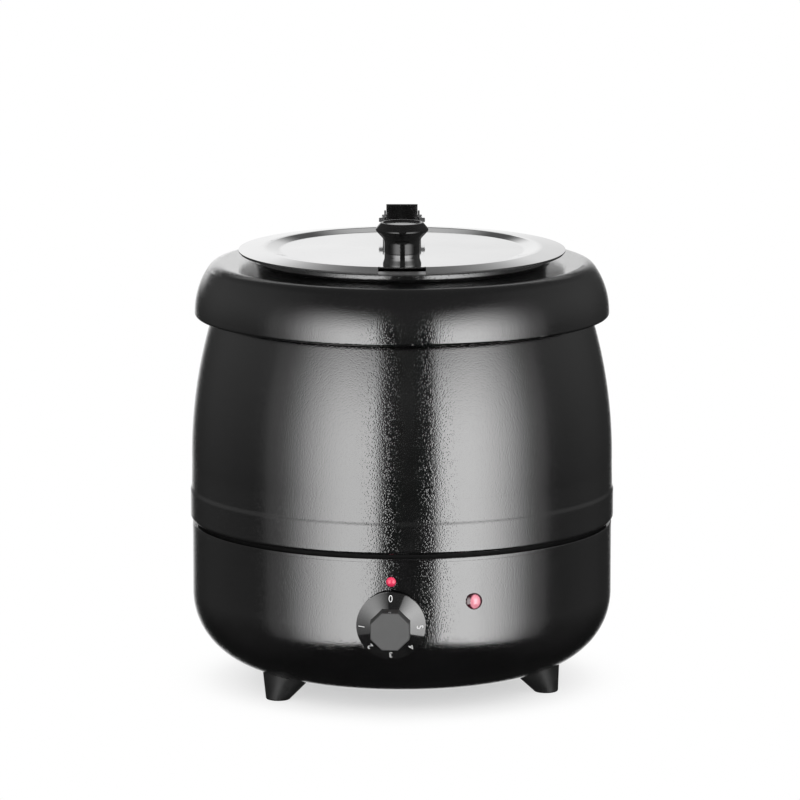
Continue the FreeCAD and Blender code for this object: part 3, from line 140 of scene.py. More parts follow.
class TreeBoard:
    """A node tree, with a short call for each node that materials, lamps and the room share."""

    def __init__(self, tree: bpy.types.NodeTree) -> None:
        """Takes a tree to add nodes to."""
        self.tree = tree

    def add(self, kind: str, **settings: str) -> bpy.types.Node:
        """Adds a node.

        Args:
            kind: Blender's name for the kind of node.
            settings: Options to set on it.

        Returns:
            The node.
        """
        node = self.tree.nodes.new(kind)
        for option, value in settings.items():
            setattr(node, option, value)
        return node

    def join(self, source: Socket, target: Socket) -> None:
        """Links two sockets."""
        self.tree.links.new(source, target)

    def fill(self, sockets: Iterable[Socket], values: Iterable[Socket | float | Triple]) -> None:
        """Links each socket to a value, or sets it to a plain number or vector.

        Args:
            sockets: The sockets.
            values: What each of them takes, in order.
        """
        for socket, value in zip(sockets, values):
            if isinstance(value, Socket):
                self.join(value, socket)
            else:
                socket.default_value = value

    def parts(self, vector: Socket) -> tuple[Socket, Socket, Socket]:
        """Takes a vector apart.

        Args:
            vector: The vector.

        Returns:
            Its three parts.
        """
        node = self.add("ShaderNodeSeparateXYZ")
        self.join(vector, node.inputs[0])
        return tuple(node.outputs)

    def spread(self, value: Socket, low: float, high: float, begin: float, end: float) -> Socket:
        """Maps a value smoothly to a range.

        Args:
            value: What to map.
            low: The result at the beginning.
            high: The result at the end.
            begin: The value where the change begins.
            end: The value where it ends.

        Returns:
            The mapped value.
        """
        node = self.add("ShaderNodeMapRange", interpolation_type="SMOOTHSTEP")
        self.fill(node.inputs, (value, begin, end, low, high))
        return node.outputs["Result"]

    def between(self, share: Socket, low: Socket | float, high: Socket | float) -> Socket:
        """Goes evenly from one value to another.

        Args:
            share: How far to go, from 0 to 1.
            low: Where it starts.
            high: Where it ends.

        Returns:
            The value.
        """
        node = self.add("ShaderNodeMapRange")
        self.fill(node.inputs, (share, 0.0, 1.0, low, high))
        return node.outputs["Result"]

    def reckon(self, operation: str, *values: Socket | float) -> Socket:
        """Does one step of arithmetic.

        Args:
            operation: Blender's name for the step.
            values: What it works on.

        Returns:
            The result.
        """
        node = self.add("ShaderNodeMath", operation=operation)
        self.fill(node.inputs, values)
        return node.outputs["Value"]

    def times(self, first: Socket, second: Socket) -> Socket:
        """Multiplies two values."""
        return self.reckon("MULTIPLY", first, second)

    def sum(self, first: Socket, second: Socket, share: float) -> Socket:
        """Adds a share of one value to another."""
        return self.reckon("MULTIPLY_ADD", second, share, first)

    def either(self, share: Socket, first: Socket, second: Socket) -> Socket:
        """Mixes two shaders.

        Args:
            share: The second one's share.
            first: The first shader.
            second: The second one.

        Returns:
            The mixed shader.
        """
        node = self.add("ShaderNodeMixShader")
        self.fill(node.inputs, (share, first, second))
        return node.outputs["Shader"]


class NodeBoard(TreeBoard):
    """One material's node tree, with a short call for each node that the finishes share."""

    def __init__(self, name: str) -> None:
        """Starts a material with a principled surface.

        Args:
            name: The material's name.
        """
        self.material = bpy.data.materials.new(name)
        self.material.use_nodes = True
        super().__init__(self.material.node_tree)
        self.tree.nodes.clear()
        self.surface = self.add("ShaderNodeBsdfPrincipled")
        self.output = self.add("ShaderNodeOutputMaterial")
        self.join(self.surface.outputs["BSDF"], self.output.inputs["Surface"])
        coordinates = self.add("ShaderNodeTexCoord")
        self.place = coordinates.outputs["Object"]
        self.facing = coordinates.outputs["Normal"]

    def fixed(self, values: dict[str, float | tuple]) -> None:
        """Sets values that are the same all over on the surface's own sockets."""
        for socket, value in values.items():
            self.surface.inputs[socket].default_value = value

    def feed(self, socket: str, source: Socket) -> None:
        """Links a varying value to one of the surface's sockets."""
        self.join(source, self.surface.inputs[socket])

    def stretched(self, scale: Triple) -> Socket:
        """Scales the piece's coordinates along each axis.

        Args:
            scale: The three scales.

        Returns:
            The coordinates.
        """
        node = self.add("ShaderNodeMapping")
        node.inputs["Scale"].default_value = scale
        self.join(self.place, node.inputs["Vector"])
        return node.outputs["Vector"]

    def noise(self, scale: float, detail: float = 3.0, vector: Socket | None = None) -> Socket:
        """Cloudy noise.

        Args:
            scale: Cloud count in a metre.
            detail: How many finer layers it holds.
            vector: Coordinates, or none for the piece's own.

        Returns:
            A value from 0 to 1.
        """
        node = self.add("ShaderNodeTexNoise")
        node.inputs["Scale"].default_value = scale
        node.inputs["Detail"].default_value = detail
        self.join(vector or self.place, node.inputs["Vector"])
        return node.outputs["Fac"]

    def cells(self, scale: float, vector: Socket, output: str = "Distance") -> Socket:
        """Scattered cells.

        Args:
            scale: Cell count in a metre.
            vector: Coordinates.
            output: Distance from the middle of the cell, or its random Color.

        Returns:
            The output asked for.
        """
        node = self.add("ShaderNodeTexVoronoi")
        node.inputs["Scale"].default_value = scale
        self.join(vector, node.inputs["Vector"])
        return node.outputs[output]

    def warped(self, scale: float, reach: float) -> Socket:
        """The piece's coordinates, pushed about by noise.

        Args:
            scale: Scale of the noise.
            reach: How far a point moves.

        Returns:
            The coordinates.
        """
        push = self.add("ShaderNodeTexNoise")
        push.inputs["Scale"].default_value = scale
        self.join(self.place, push.inputs["Vector"])
        return self.steer("MULTIPLY_ADD", "Vector", push.outputs["Color"], (reach,) * 3, self.place)

    def tint(self, value: Socket, dark: Colour, light: Colour, begin: float, end: float) -> Socket:
        """Colours a value from dark to light.

        Args:
            value: What to colour.
            dark: The colour at the beginning.
            light: The colour at the end.
            begin: The value where the change begins.
            end: The value where it ends.

        Returns:
            The colour.
        """
        node = self.add("ShaderNodeValToRGB")
        for element, place, colour in zip(node.color_ramp.elements, (begin, end), (dark, light)):
            element.position = place
            element.color = (*colour, 1.0)
        self.join(value, node.inputs["Fac"])
        return node.outputs["Color"]

    def blend(self, share: Socket, under: Socket, over: Colour) -> Socket:
        """Lays a share of a plain colour over another.

        Args:
            share: The share.
            under: The colour below.
            over: The plain colour.

        Returns:
            The mixed colour.
        """
        node = self.add("ShaderNodeMix", data_type="RGBA")
        sockets = {socket.identifier: socket for socket in (*node.inputs, *node.outputs)}
        sockets["B_Color"].default_value = (*over, 1.0)
        self.join(share, sockets["Factor_Float"])
        self.join(under, sockets["A_Color"])
        return sockets["Result_Color"]

    def steer(self, operation: str, output: str, *vectors: Socket | Triple) -> Socket:
        """Does one step of vector arithmetic.

        Args:
            operation: Blender's name for the step.
            output: Vector or Value, whichever the step gives.
            vectors: What it works on.

        Returns:
            The result.
        """
        node = self.add("ShaderNodeVectorMath", operation=operation)
        self.fill(node.inputs, vectors)
        return node.outputs[output]

    def offset(self, middle: Triple) -> Socket:
        """The way from a fixed point to the piece's coordinates."""
        return self.steer("SUBTRACT", "Vector", self.place, middle)

    def along(self, vector: Socket, way: Triple) -> Socket:
        """How far a vector reaches along a fixed direction."""
        return self.steer("DOT_PRODUCT", "Value", vector, way)

    def length(self, vector: Socket) -> Socket:
        """The length of a vector."""
        return self.steer("LENGTH", "Value", vector)

    def from_axis(self) -> Socket:
        """The distance from the upright axis."""
        return self.length(self.stretched(IN_PLAN))

    def bump(self, height: Socket, depth: float, under: Socket | None = None) -> Socket:
        """Turns a height into a bent normal.

        Args:
            height: The height, from 0 to 1.
            depth: What a height of 1 stands for.
            under: A normal that this one adds to.

        Returns:
            The normal.
        """
        node = self.add("ShaderNodeBump")
        node.inputs["Distance"].default_value = depth
        self.join(height, node.inputs["Height"])
        if under is not None:
            self.join(under, node.inputs["Normal"])
        return node.outputs["Normal"]

    def lines(self, brush: Brush) -> Socket:
        """Fine polishing lines.

        Args:
            brush: The way that they run.

        Returns:
            A value from 0 to 1.
        """
        if brush is Brush.ROUND_PLAN:
            node = self.add("ShaderNodeTexNoise", noise_dimensions="1D")
            node.inputs["Scale"].default_value = LINES_OUTWARDS
            node.inputs["Detail"].default_value = LINE_DETAIL
            self.join(self.from_axis(), node.inputs["W"])
            return node.outputs["Fac"]
        level = self.stretched((LINES_ALONG, LINES_ALONG, LINES_ACROSS))
        return self.noise(1.0, LINE_DETAIL, level)


@dataclass(frozen=True)
class Finish:
    """What every finish has.

    Attributes:
        dark: The darker of the two colours that it varies between.
        light: The lighter one.
        smooth: Roughness where it is smoothest.
        worn: Roughness where it is dullest.
    """

    dark: Colour
    light: Colour
    smooth: float
    worn: float

    def material(self, name: str) -> bpy.types.Material:
        """Makes the material.

        Args:
            name: The material's name.

        Returns:
            The material.
        """
        board = NodeBoard(name)
        self.paint(board)
        return board.material

    def paint(self, board: NodeBoard) -> None:
        """Lays the finish on a board."""
        self.ground(board)

    def ground(self, board: NodeBoard) -> tuple[Socket, Socket]:
        """Lays the finish without its extras, and gives its colour and its roughness."""
        raise NotImplementedError

    def clouds(self, board: NodeBoard, scale: float) -> tuple[Socket, Socket]:
        """Varies colour and roughness in soft clouds.

        Args:
            board: Where the nodes go.
            scale: Cloud count in a metre.

        Returns:
            The colour and the roughness.
        """
        shades = board.noise(scale, COLOUR_DETAIL)
        dullness = board.noise(scale * DULLNESS_CLOUDS, DULLNESS_DETAIL)
        colour = board.tint(shades, self.dark, self.light, *CLOUD_SPAN)
        roughness = board.spread(dullness, self.smooth, self.worn, *CLOUD_SPAN)
        board.feed("Base Color", colour)
        board.feed("Roughness", roughness)
        return colour, roughness


@dataclass(frozen=True)
class HammeredEnamel(Finish):
    """Stove enamel that dries with small scattered dents.

    Attributes:
        dents: Dents in a metre.
        dent_reach: Radius of a dent, as a share of the room that it has.
        depth: Depth of a dent.
        ripple: Height of the ripple between the dents, as a share of that depth.
        ripples: Ripples to each dent.
        gloss: Specular level of the paint under its clear top.
        top: Roughness of the clear top.
        cloud_scale: Clouds of colour in a metre.
    """

    dents: float = 640.0
    dent_reach: float = 0.55
    depth: float = 0.00006
    ripple: float = 0.8
    ripples: float = 1.7
    gloss: float = 1.0
    top: float = 0.04
    cloud_scale: float = 18.0

    def paint(self, board: NodeBoard) -> None:
        """Lays dents, ripples and a clear top over near black.

        Args:
            board: Where the nodes go.
        """
        self.clouds(board, self.cloud_scale)
        dent = board.spread(board.cells(self.dents, board.place), 0.0, 1.0, 0.0, self.dent_reach)
        height = board.sum(dent, board.noise(self.dents * self.ripples, detail=2.0), self.ripple)
        normal = board.bump(height, self.depth)
        board.feed("Normal", normal)
        board.feed("Coat Normal", normal)
        board.fixed({"Specular IOR Level": self.gloss, "Coat Weight": 1.0,
                     "Coat Roughness": self.top})


@dataclass(frozen=True)
class Metal(Finish):
    """A bare or plated metal.

    Attributes:
        brush: The way that its polishing lines run.
        line_depth: Depth of those lines.
        cloud_scale: Clouds of tarnish in a metre.
        dimples: Shallow dimples in a metre.
        dimple_depth: Depth of a dimple, in depths of a line.
    """

    brush: Brush = Brush.NONE
    line_depth: float = 0.000004
    cloud_scale: float = 14.0
    dimples: float = 70.0
    dimple_depth: float = 4.0

    def ground(self, board: NodeBoard) -> tuple[Socket, Socket]:
        """Lays polishing lines and a faint tarnish on metal.

        Args:
            board: Where the nodes go.

        Returns:
            The colour and the roughness.
        """
        board.fixed({"Metallic": 1.0})
        dimple = board.bump(board.noise(self.dimples, detail=2.0),
                            self.line_depth * self.dimple_depth)
        if self.brush is Brush.NONE:
            board.feed("Normal", dimple)
        else:
            board.feed("Normal", board.bump(board.lines(self.brush), self.line_depth, dimple))
        return self.clouds(board, self.cloud_scale)


@dataclass(frozen=True)
class CutSheet(Metal):
    """A round polished sheet whose cut edge is dull and painted dark, as shade.

    Attributes:
        edge_from: Distance from the upright axis beyond which an upright face is a cut edge.
        edge_shade: Painted shade laid on the cut edge as its colour.
        edge_dullness: How much rougher the cut edge is.
        edge_blend: Distance over which the edge begins.
        edge_tilt: Upward parts of a face's direction where the edge fades and where it ends.
    """

    edge_from: float = 0.0
    edge_shade: Colour = (0.09, 0.09, 0.09)
    edge_dullness: float = 0.5
    edge_blend: float = 0.001
    edge_tilt: Pair = (0.45, 0.75)

    def paint(self, board: NodeBoard) -> None:
        """Lays the polish, and over it the dull cut edge with its painted shade.

        Args:
            board: Where the nodes go.
        """
        colour, roughness = self.ground(board)
        level = board.reckon("ABSOLUTE", board.along(board.facing, UPWARDS))
        upright = board.spread(level, 1.0, 0.0, *self.edge_tilt)
        outside = board.spread(board.from_axis(), 0.0, 1.0, self.edge_from - self.edge_blend,
                               self.edge_from)
        edge = board.times(upright, outside)
        # The cut edge's dark colour is painted shade; its extra roughness is real dullness.
        board.feed("Base Color", board.blend(edge, colour, self.edge_shade))
        board.feed("Roughness", board.sum(roughness, edge, self.edge_dullness))


@dataclass(frozen=True)
class Spangle(Finish):
    """Hot-dipped zinc with its crystal flakes.

    Attributes:
        flakes: Flakes in a metre.
        contrast: Random values at which a flake is darkest and lightest.
        fringe_scale: Waves of a flake's edge in a metre.
        fringe: Depth of those waves.
        grain: Grains in a metre.
        grain_depth: Height of the grain.
    """

    flakes: float = 140.0
    contrast: Pair = (0.2, 0.8)
    fringe_scale: float = 180.0
    fringe: float = 0.004
    grain: float = 500.0
    grain_depth: float = 0.00002

    def paint(self, board: NodeBoard) -> None:
        """Lays flat flakes of differing grey on metal.

        Args:
            board: Where the nodes go.
        """
        flake = board.cells(self.flakes, board.warped(self.fringe_scale, self.fringe), "Color")
        board.feed("Base Color", board.tint(flake, self.dark, self.light, *self.contrast))
        board.feed("Roughness", board.spread(flake, self.smooth, self.worn, *self.contrast))
        board.feed("Normal", board.bump(board.noise(self.grain), self.grain_depth))
        board.fixed({"Metallic": 1.0})


@dataclass(frozen=True)
class Plastic(Finish):
    """A moulded plastic.

    Attributes:
        grain: Grains in a metre.
        grain_depth: Height of the grain.
        coat: Weight of a polished skin.
        gloss: Specular level.
        skin: Roughness of the polished skin.
        sinks: Sink marks in a metre.
        sink_depth: Depth of a sink mark.
        cloud_scale: Flow clouds in a metre.
    """

    grain: float = 900.0
    grain_depth: float = 0.00001
    coat: float = 0.0
    gloss: float = 0.5
    skin: float = 0.05
    sinks: float = 60.0
    sink_depth: float = 0.00004
    cloud_scale: float = 45.0

    def ground(self, board: NodeBoard) -> tuple[Socket, Socket]:
        """Lays a moulded grain and faint flow clouds.

        Args:
            board: Where the nodes go.

        Returns:
            The colour and the roughness.
        """
        sink = board.bump(board.noise(self.sinks, detail=1.0), self.sink_depth)
        board.feed("Normal", board.bump(board.noise(self.grain), self.grain_depth, sink))
        board.fixed({"Coat Weight": self.coat, "Coat Roughness": self.skin,
                     "Specular IOR Level": self.gloss})
        return self.clouds(board, self.cloud_scale)


@dataclass(frozen=True)
class DialMoulding(Plastic):
    """The dial's gloss plastic, with a satin grip.

    Attributes:
        foot: A point on the dial's axis.
        outwards: The way that the axis points.
        grip_at: Distances from that point between which the gloss turns to satin.
        satin: How much rougher the grip is.
    """

    foot: Triple = (0.0, 0.0, 0.0)
    outwards: Triple = (0.0, -1.0, 0.0)
    grip_at: Pair = (0.0093, 0.0096)
    satin: float = 0.5

    def paint(self, board: NodeBoard) -> None:
        """Lays the gloss, and the satin beyond the foot of the grip.

        Args:
            board: Where the nodes go.
        """
        _, roughness = self.ground(board)
        out = board.along(board.offset(self.foot), self.outwards)
        on_grip = board.spread(out, 0.0, 1.0, *self.grip_at)
        satin = board.sum(roughness, on_grip, self.satin)
        board.feed("Roughness", satin)
        board.feed("Coat Roughness", satin)


@dataclass(frozen=True)
class ClearPlastic(Finish):
    """A clear tinted moulding.

    Attributes:
        clear: Share of light that goes through.
        bending: Refractive index.
        skin: Roughness of its polished skin.
        prisms: Prisms in a metre.
        prism_depth: Depth of a prism.
        cloud_scale: Flow clouds in a metre.
    """

    clear: float = 0.5
    bending: float = 1.49
    skin: float = 0.02
    prisms: float = 420.0
    prism_depth: float = 0.00003
    cloud_scale: float = 160.0

    def ground(self, board: NodeBoard) -> tuple[Socket, Socket]:
        """Lays a tinted clear body with faint prisms inside.

        Args:
            board: Where the nodes go.

        Returns:
            The colour and the roughness.
        """
        board.feed("Normal", board.bump(board.noise(self.prisms, detail=1.0), self.prism_depth))
        board.fixed({"Transmission Weight": self.clear, "IOR": self.bending, "Coat Weight": 1.0,
                     "Coat Roughness": self.skin})
        return self.clouds(board, self.cloud_scale)


@dataclass(frozen=True)
class LampWindow(ClearPlastic):
    """A lamp's clear dome showing its own pink only in a middle window, with painted shade round
    it.

    Attributes:
        middle: Middle of the window.
        sideways: Level direction along the window.
        half: Half the window's width and height.
        shade: Colour of the painted shade round the window.
        rim: Shares of that half between which the window fades.
    """

    middle: Triple = (0.0, 0.0, 0.0)
    sideways: Triple = (1.0, 0.0, 0.0)
    half: Pair = (0.0042, 0.0056)
    shade: Colour = (0.05, 0.008, 0.014)
    rim: Pair = (0.88, 1.12)

    def paint(self, board: NodeBoard) -> None:
        """Lays the window, and painted shade round it.

        Args:
            board: Where the nodes go.
        """
        colour, _ = self.ground(board)
        way = board.offset(self.middle)
        place = board.add("ShaderNodeCombineXYZ")
        across = board.along(way, tuple(part / self.half[0] for part in self.sideways))
        board.join(across, place.inputs["X"])
        board.join(board.along(way, (0.0, 0.0, 1.0 / self.half[1])), place.inputs["Y"])
        # Outside the window the lens's colour is painted dark, as shade.
        painted_shade_share = board.spread(board.length(place.outputs["Vector"]), 0.0, 1.0, *self.rim)
        board.feed("Base Color", board.blend(painted_shade_share, colour, self.shade))


def grey(level: float) -> Colour:
    """A neutral grey."""
    return (level, level, level)


# Dark and light colour, roughness where smooth and where worn, then what each kind adds.
FINISHES: dict[Slot, Finish] = {
    Slot.HAMMERED_BLACK: HammeredEnamel(grey(0.001), (0.002, 0.002, 0.0021), 0.1, 0.15),
    # Both cut sheets below paint shade on their upright cut edges.
    Slot.MIRROR_STEEL: CutSheet((0.76, 0.76, 0.765), grey(0.83), 0.035, 0.085,
                                Brush.ROUND_PLAN, line_depth=0.0000012),
    Slot.POT_STEEL: CutSheet((0.50, 0.50, 0.505), grey(0.57), 0.32, 0.42,
                             Brush.LEVEL, edge_from=0.125),
    Slot.BRIGHT_STEEL: Metal((0.66, 0.66, 0.67), grey(0.77), 0.10, 0.2,
                             Brush.LEVEL, line_depth=0.000002, cloud_scale=60.0),
    Slot.ZINC_STEEL: Metal((0.52, 0.53, 0.55), (0.66, 0.67, 0.68), 0.22, 0.38, cloud_scale=120.0),
    Slot.GALVANISED_SHEET: Spangle((0.42, 0.44, 0.45), (0.62, 0.64, 0.65), 0.28, 0.46),
    Slot.TANK_ALUMINIUM: Metal((0.68, 0.69, 0.70), (0.78, 0.79, 0.80), 0.22, 0.36, Brush.LEVEL),
    Slot.ELEMENT_SHEATH: Metal((0.20, 0.19, 0.18), (0.38, 0.37, 0.36), 0.35, 0.55,
                               cloud_scale=70.0),
    Slot.BLACK_GLOSS_PLASTIC: Plastic(grey(0.004), grey(0.007), 0.05, 0.1, grain=700.0,
                                      grain_depth=0.000003, coat=1.0, gloss=0.8),
    Slot.FOOT_PLASTIC: Plastic(grey(0.006), grey(0.012), 0.34, 0.5, grain=1500.0,
                               grain_depth=0.00003, gloss=0.35),
    Slot.SEAM_PLASTIC: Plastic(grey(0.004), grey(0.008), 0.5, 0.65, grain=1500.0,
                               grain_depth=0.00002, gloss=0.08),
    Slot.INDEX_RED: Plastic((0.70, 0.025, 0.085), (0.78, 0.035, 0.11), 0.2, 0.3, grain=700.0,
                            grain_depth=0.000003, coat=0.3),
    Slot.LAMP_LENS: ClearPlastic((0.90, 0.30, 0.38), (0.96, 0.40, 0.48), 0.08, 0.16, clear=0.25),
    Slot.DIAL_PRINT: Plastic(grey(0.80), grey(0.90), 0.3, 0.45, grain=2600.0,
                             grain_depth=0.000006),
    Slot.GASKET_SILICONE: Plastic((0.42, 0.09, 0.06), (0.54, 0.14, 0.10), 0.5, 0.7, grain=1200.0,
                                  grain_depth=0.00003),
    Slot.COPPER: Metal((0.58, 0.30, 0.19), (0.78, 0.47, 0.33), 0.2, 0.4, cloud_scale=90.0),
    Slot.SWITCH_CASE: Plastic((0.27, 0.25, 0.21), (0.36, 0.34, 0.30), 0.4, 0.55, grain=1400.0,
                              grain_depth=0.00003),
    Slot.TERMINAL_PLASTIC: Plastic((0.78, 0.77, 0.72), (0.88, 0.87, 0.84), 0.35, 0.5,
                                   grain=1200.0, grain_depth=0.00002),
}


class Wardrobe:
    """Makes each finish once and lays it on nodes and pieces."""

    def __init__(self, frame: dict) -> None:
        """Reads which slot each packed node takes.

        Args:
            frame: What the loaded frame holds.
        """
        self.nodes: dict[str, Piece] = frame["nodes"]
        self.node_slots = {row["node"]: Slot(row["material_slot"])
                           for row in frame["record"]["subparts"]}
        self.made = {slot: finish.material(slot.value) for slot, finish in FINISHES.items()}

    def dress_node(self, node: str, own: Finish | None) -> None:
        """Gives a packed node the finish of its slot, or one of its own.

        Args:
            node: The node's name.
            own: A finish that only this node has, or none.
        """
        materials = self.nodes[node].data.materials
        materials.clear()
        materials.append(own.material(node) if own else self.made[self.node_slots[node]])

    def dress_piece(self, piece: Piece, slot: Slot, body: Body, node: str | None = None) -> Piece:
        """Gives a new piece its finish and the body that it rides on.

        Args:
            piece: The piece, in place.
            slot: Its material slot.
            body: The body that carries it.
            node: The packed node that it is shown for, if any.

        Returns:
            The piece.
        """
        piece.data.materials.clear()
        piece.data.materials.append(self.made[slot])
        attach(piece, body.value)
        if node:
            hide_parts(node)
        return piece


def linked(name: str, data: bpy.types.ID) -> Piece:
    """Puts a mesh, a number's type, a lamp or a camera in the scene.

    Args:
        name: Its name.
        data: What it is.

    Returns:
        The object.
    """
    placed = bpy.data.objects.new(name, data)
    bpy.context.scene.collection.objects.link(placed)
    return placed


def from_bmesh(name: str, built: bmesh.types.BMesh) -> Piece:
    """Turns a built mesh into a piece with smooth faces and sharp edges.

    Args:
        name: The piece's name.
        built: The mesh, which is freed.

    Returns:
        The piece.
    """
    bmesh.ops.recalc_face_normals(built, faces=built.faces)
    for face in built.faces:
        face.smooth = True
    for edge in built.edges:
        edge.smooth = len(edge.link_faces) < 2 or edge.calc_face_angle() < SMOOTH_ANGLE
    mesh = bpy.data.meshes.new(name)
    built.to_mesh(mesh)
    built.free()
    return linked(name, mesh)


def lathe(built: bmesh.types.BMesh, profile: Profile, place: Matrix, steps: int = 40) -> None:
    """Adds a turned solid.

    Args:
        built: The mesh that it is added to.
        profile: Radius and height of each point, from one end of the axis to the other.
        place: Where its axis stands.
        steps: Faces round the axis.
    """
    rings = []
    for radius, height in profile:
        count = 1 if radius == 0 else steps
        angles = [2 * math.pi * step / count for step in range(count)]
        points = [Vector((radius * math.cos(angle), radius * math.sin(angle), height))
                  for angle in angles]
        rings.append([built.verts.new(place @ point) for point in points])
    for low, high in zip(rings, rings[1:]):
        for step in range(steps):
            face = [low[step % len(low)], low[(step + 1) % len(low)],
                    high[(step + 1) % len(high)], high[step % len(high)]]
            built.faces.new(list(dict.fromkeys(face)))


def turned_ring(name: str, section: Profile, place: Matrix, steps: int) -> Piece:
    """Makes a turned ring.

    Args:
        name: The piece's name.
        section: Radius and height of each corner of its section.
        place: Where its axis stands.
        steps: Faces round the axis.

    Returns:
        The ring.
    """
    built = bmesh.new()
    lathe(built, [*section, section[0]], place, steps)
    bmesh.ops.remove_doubles(built, verts=built.verts, dist=MERGE_REACH)
    return from_bmesh(name, built)


def settled(piece: Piece) -> bpy.types.Mesh:
    """The mesh that a piece's modifiers or type give."""
    shown = piece.evaluated_get(bpy.context.evaluated_depsgraph_get())
    return bpy.data.meshes.new_from_object(shown)


def dome(radius: float, rise: float, foot: float) -> Profile:
    """Points of a round dome, from its edge to its middle.

    Args:
        radius: Radius of its edge.
        rise: Its height.
        foot: Height of its edge.

    Returns:
        The points.
    """
    turns = [math.pi / 2 * step / DOME_STEPS for step in range(DOME_STEPS)]
    points = [(radius * math.cos(turn), foot + rise * math.sin(turn)) for turn in turns]
    return [*points, (0.0, foot + rise)]


def eased(value: float, begin: float, end: float) -> float:
    """Goes smoothly from 0 to 1.

    Args:
        value: The value.
        begin: Where it leaves 0.
        end: Where it reaches 1.

    Returns:
        The share.
    """
    share = min(max((value - begin) / (end - begin), 0.0), 1.0)
    return share * share * (3.0 - 2.0 * share)


def around(azimuths: Iterable[float], radius: float) -> list[Matrix]:
    """Places on a circle about the upright axis.

    Args:
        azimuths: Degrees from the front towards +X.
        radius: The circle's radius.

    Returns:
        A matrix for each place.
    """
    out = Matrix.Translation((0.0, -radius, 0.0))
    return [Matrix.Rotation(math.radians(azimuth), 4, "Z") @ out for azimuth in azimuths]


@dataclass
class ScrewHead:
    """A pan-headed screw with a cross recess, made with its head upwards.

    Attributes:
        thread: Radius of its thread.
        head: Radius of its head.
        height: Height of its head.
        fewest_turns: Turns that even the shortest thread has.
        pitch: Pitch of its thread, as a share of its radius.
        root: Radius between the turns, as a share of the thread's.
        tip: Radius of its end, as a share of the thread's.
        threaded: Share of the length that the turns take up.
        turn_rise: Heights of a turn's root and crest, as shares of the pitch.
        runout: Plain length under the head, as a share of the pitch.
        domed: Share of the head's height that is round.
        arm: Length, width and depth of the recess's arms, as shares of the head's sizes.
        arm_turn: How far the recess is turned, in radians.
    """

    thread: float
    head: float
    height: float
    fewest_turns: int = 3
    pitch: float = 0.42
    root: float = 0.84
    tip: float = 0.7
    threaded: float = 0.96
    turn_rise: Pair = (0.15, 0.5)
    runout: float = 0.3
    domed: float = 0.7
    arm: Triple = (1.15, 0.24, 1.1)
    arm_turn: float = 0.3

    def profile(self, length: float) -> Profile:
        """Points of the screw's outline.

        Args:
            length: Length of its thread.

        Returns:
            Radius and height of each point, from its tip to the top of its head.
        """
        pitch = self.thread * self.pitch
        root = self.thread * self.root
        turns = max(self.fewest_turns, int(length / pitch))
        points = [(0.0, -length), (self.thread * self.tip, -length)]
        for turn in range(turns):
            low = -length + length * self.threaded * turn / turns
            points += [(root, low + pitch * self.turn_rise[0]),
                       (self.thread, low + pitch * self.turn_rise[1])]
        points += [(root, -pitch * self.runout), (root, 0.0), (self.head, 0.0)]
        return points + dome(self.head, self.height * self.domed, self.height * (1 - self.domed))

    def solid(self, places: list[Matrix], length: float, name: str) -> Piece:
        """Makes a screw at each place and cuts its recess.

        Args:
            places: Where the seats of the heads are.
            length: Length of the thread.
            name: The piece's name.

        Returns:
            One piece that holds all the screws.
        """
        body = bmesh.new()
        cutter = bmesh.new()
        reach, width, depth = self.arm
        size = Matrix.Diagonal((self.head * reach, self.head * width, self.height * depth, 1.0))
        up = Matrix.Translation((0.0, 0.0, self.height))
        for place in places:
            lathe(body, self.profile(length), place)
            for quarter in range(2):
                turn = Matrix.Rotation(math.pi / 2 * quarter + self.arm_turn, 4, "Z")
                bmesh.ops.create_cube(cutter, size=1.0, matrix=place @ turn @ up @ size)
        piece = from_bmesh(name, body)
        recess = from_bmesh(f"{name}_recess", cutter)
        cut = piece.modifiers.new("recess", "BOOLEAN")
        cut.object = recess
        cut.operation = "DIFFERENCE"
        cut.solver = "EXACT"
        cut.use_self = True
        made = settled(piece)
        piece.modifiers.clear()
        piece.data = made
        bpy.data.objects.remove(recess)
        return piece


@dataclass
class SubAssembly:
    """Pieces that are built and dressed together.

    Attributes:
        wardrobe: Where the finishes come from.
        frame: What the loaded frame holds.
        nodes: The packed nodes that take the finish of their slot.
    """

    wardrobe: Wardrobe
    frame: dict
    nodes: tuple[str, ...] = ()

    def make(self) -> list[str]:
        """Dresses the packed nodes and builds the pieces.

        Returns:
            The name of each of them.
        """
        finishes = dict.fromkeys(self.nodes) | self.own_finishes()
        for node, finish in finishes.items():
            self.wardrobe.dress_node(node, finish)
        return [*finishes, *(piece.name for piece in self.build())]

    def own_finishes(self) -> dict[str, Finish]:
        """The packed nodes that have a finish of their own."""
        return {}

    def build(self) -> list[Piece]:
        """Builds what the packed nodes leave to this script."""
        return []


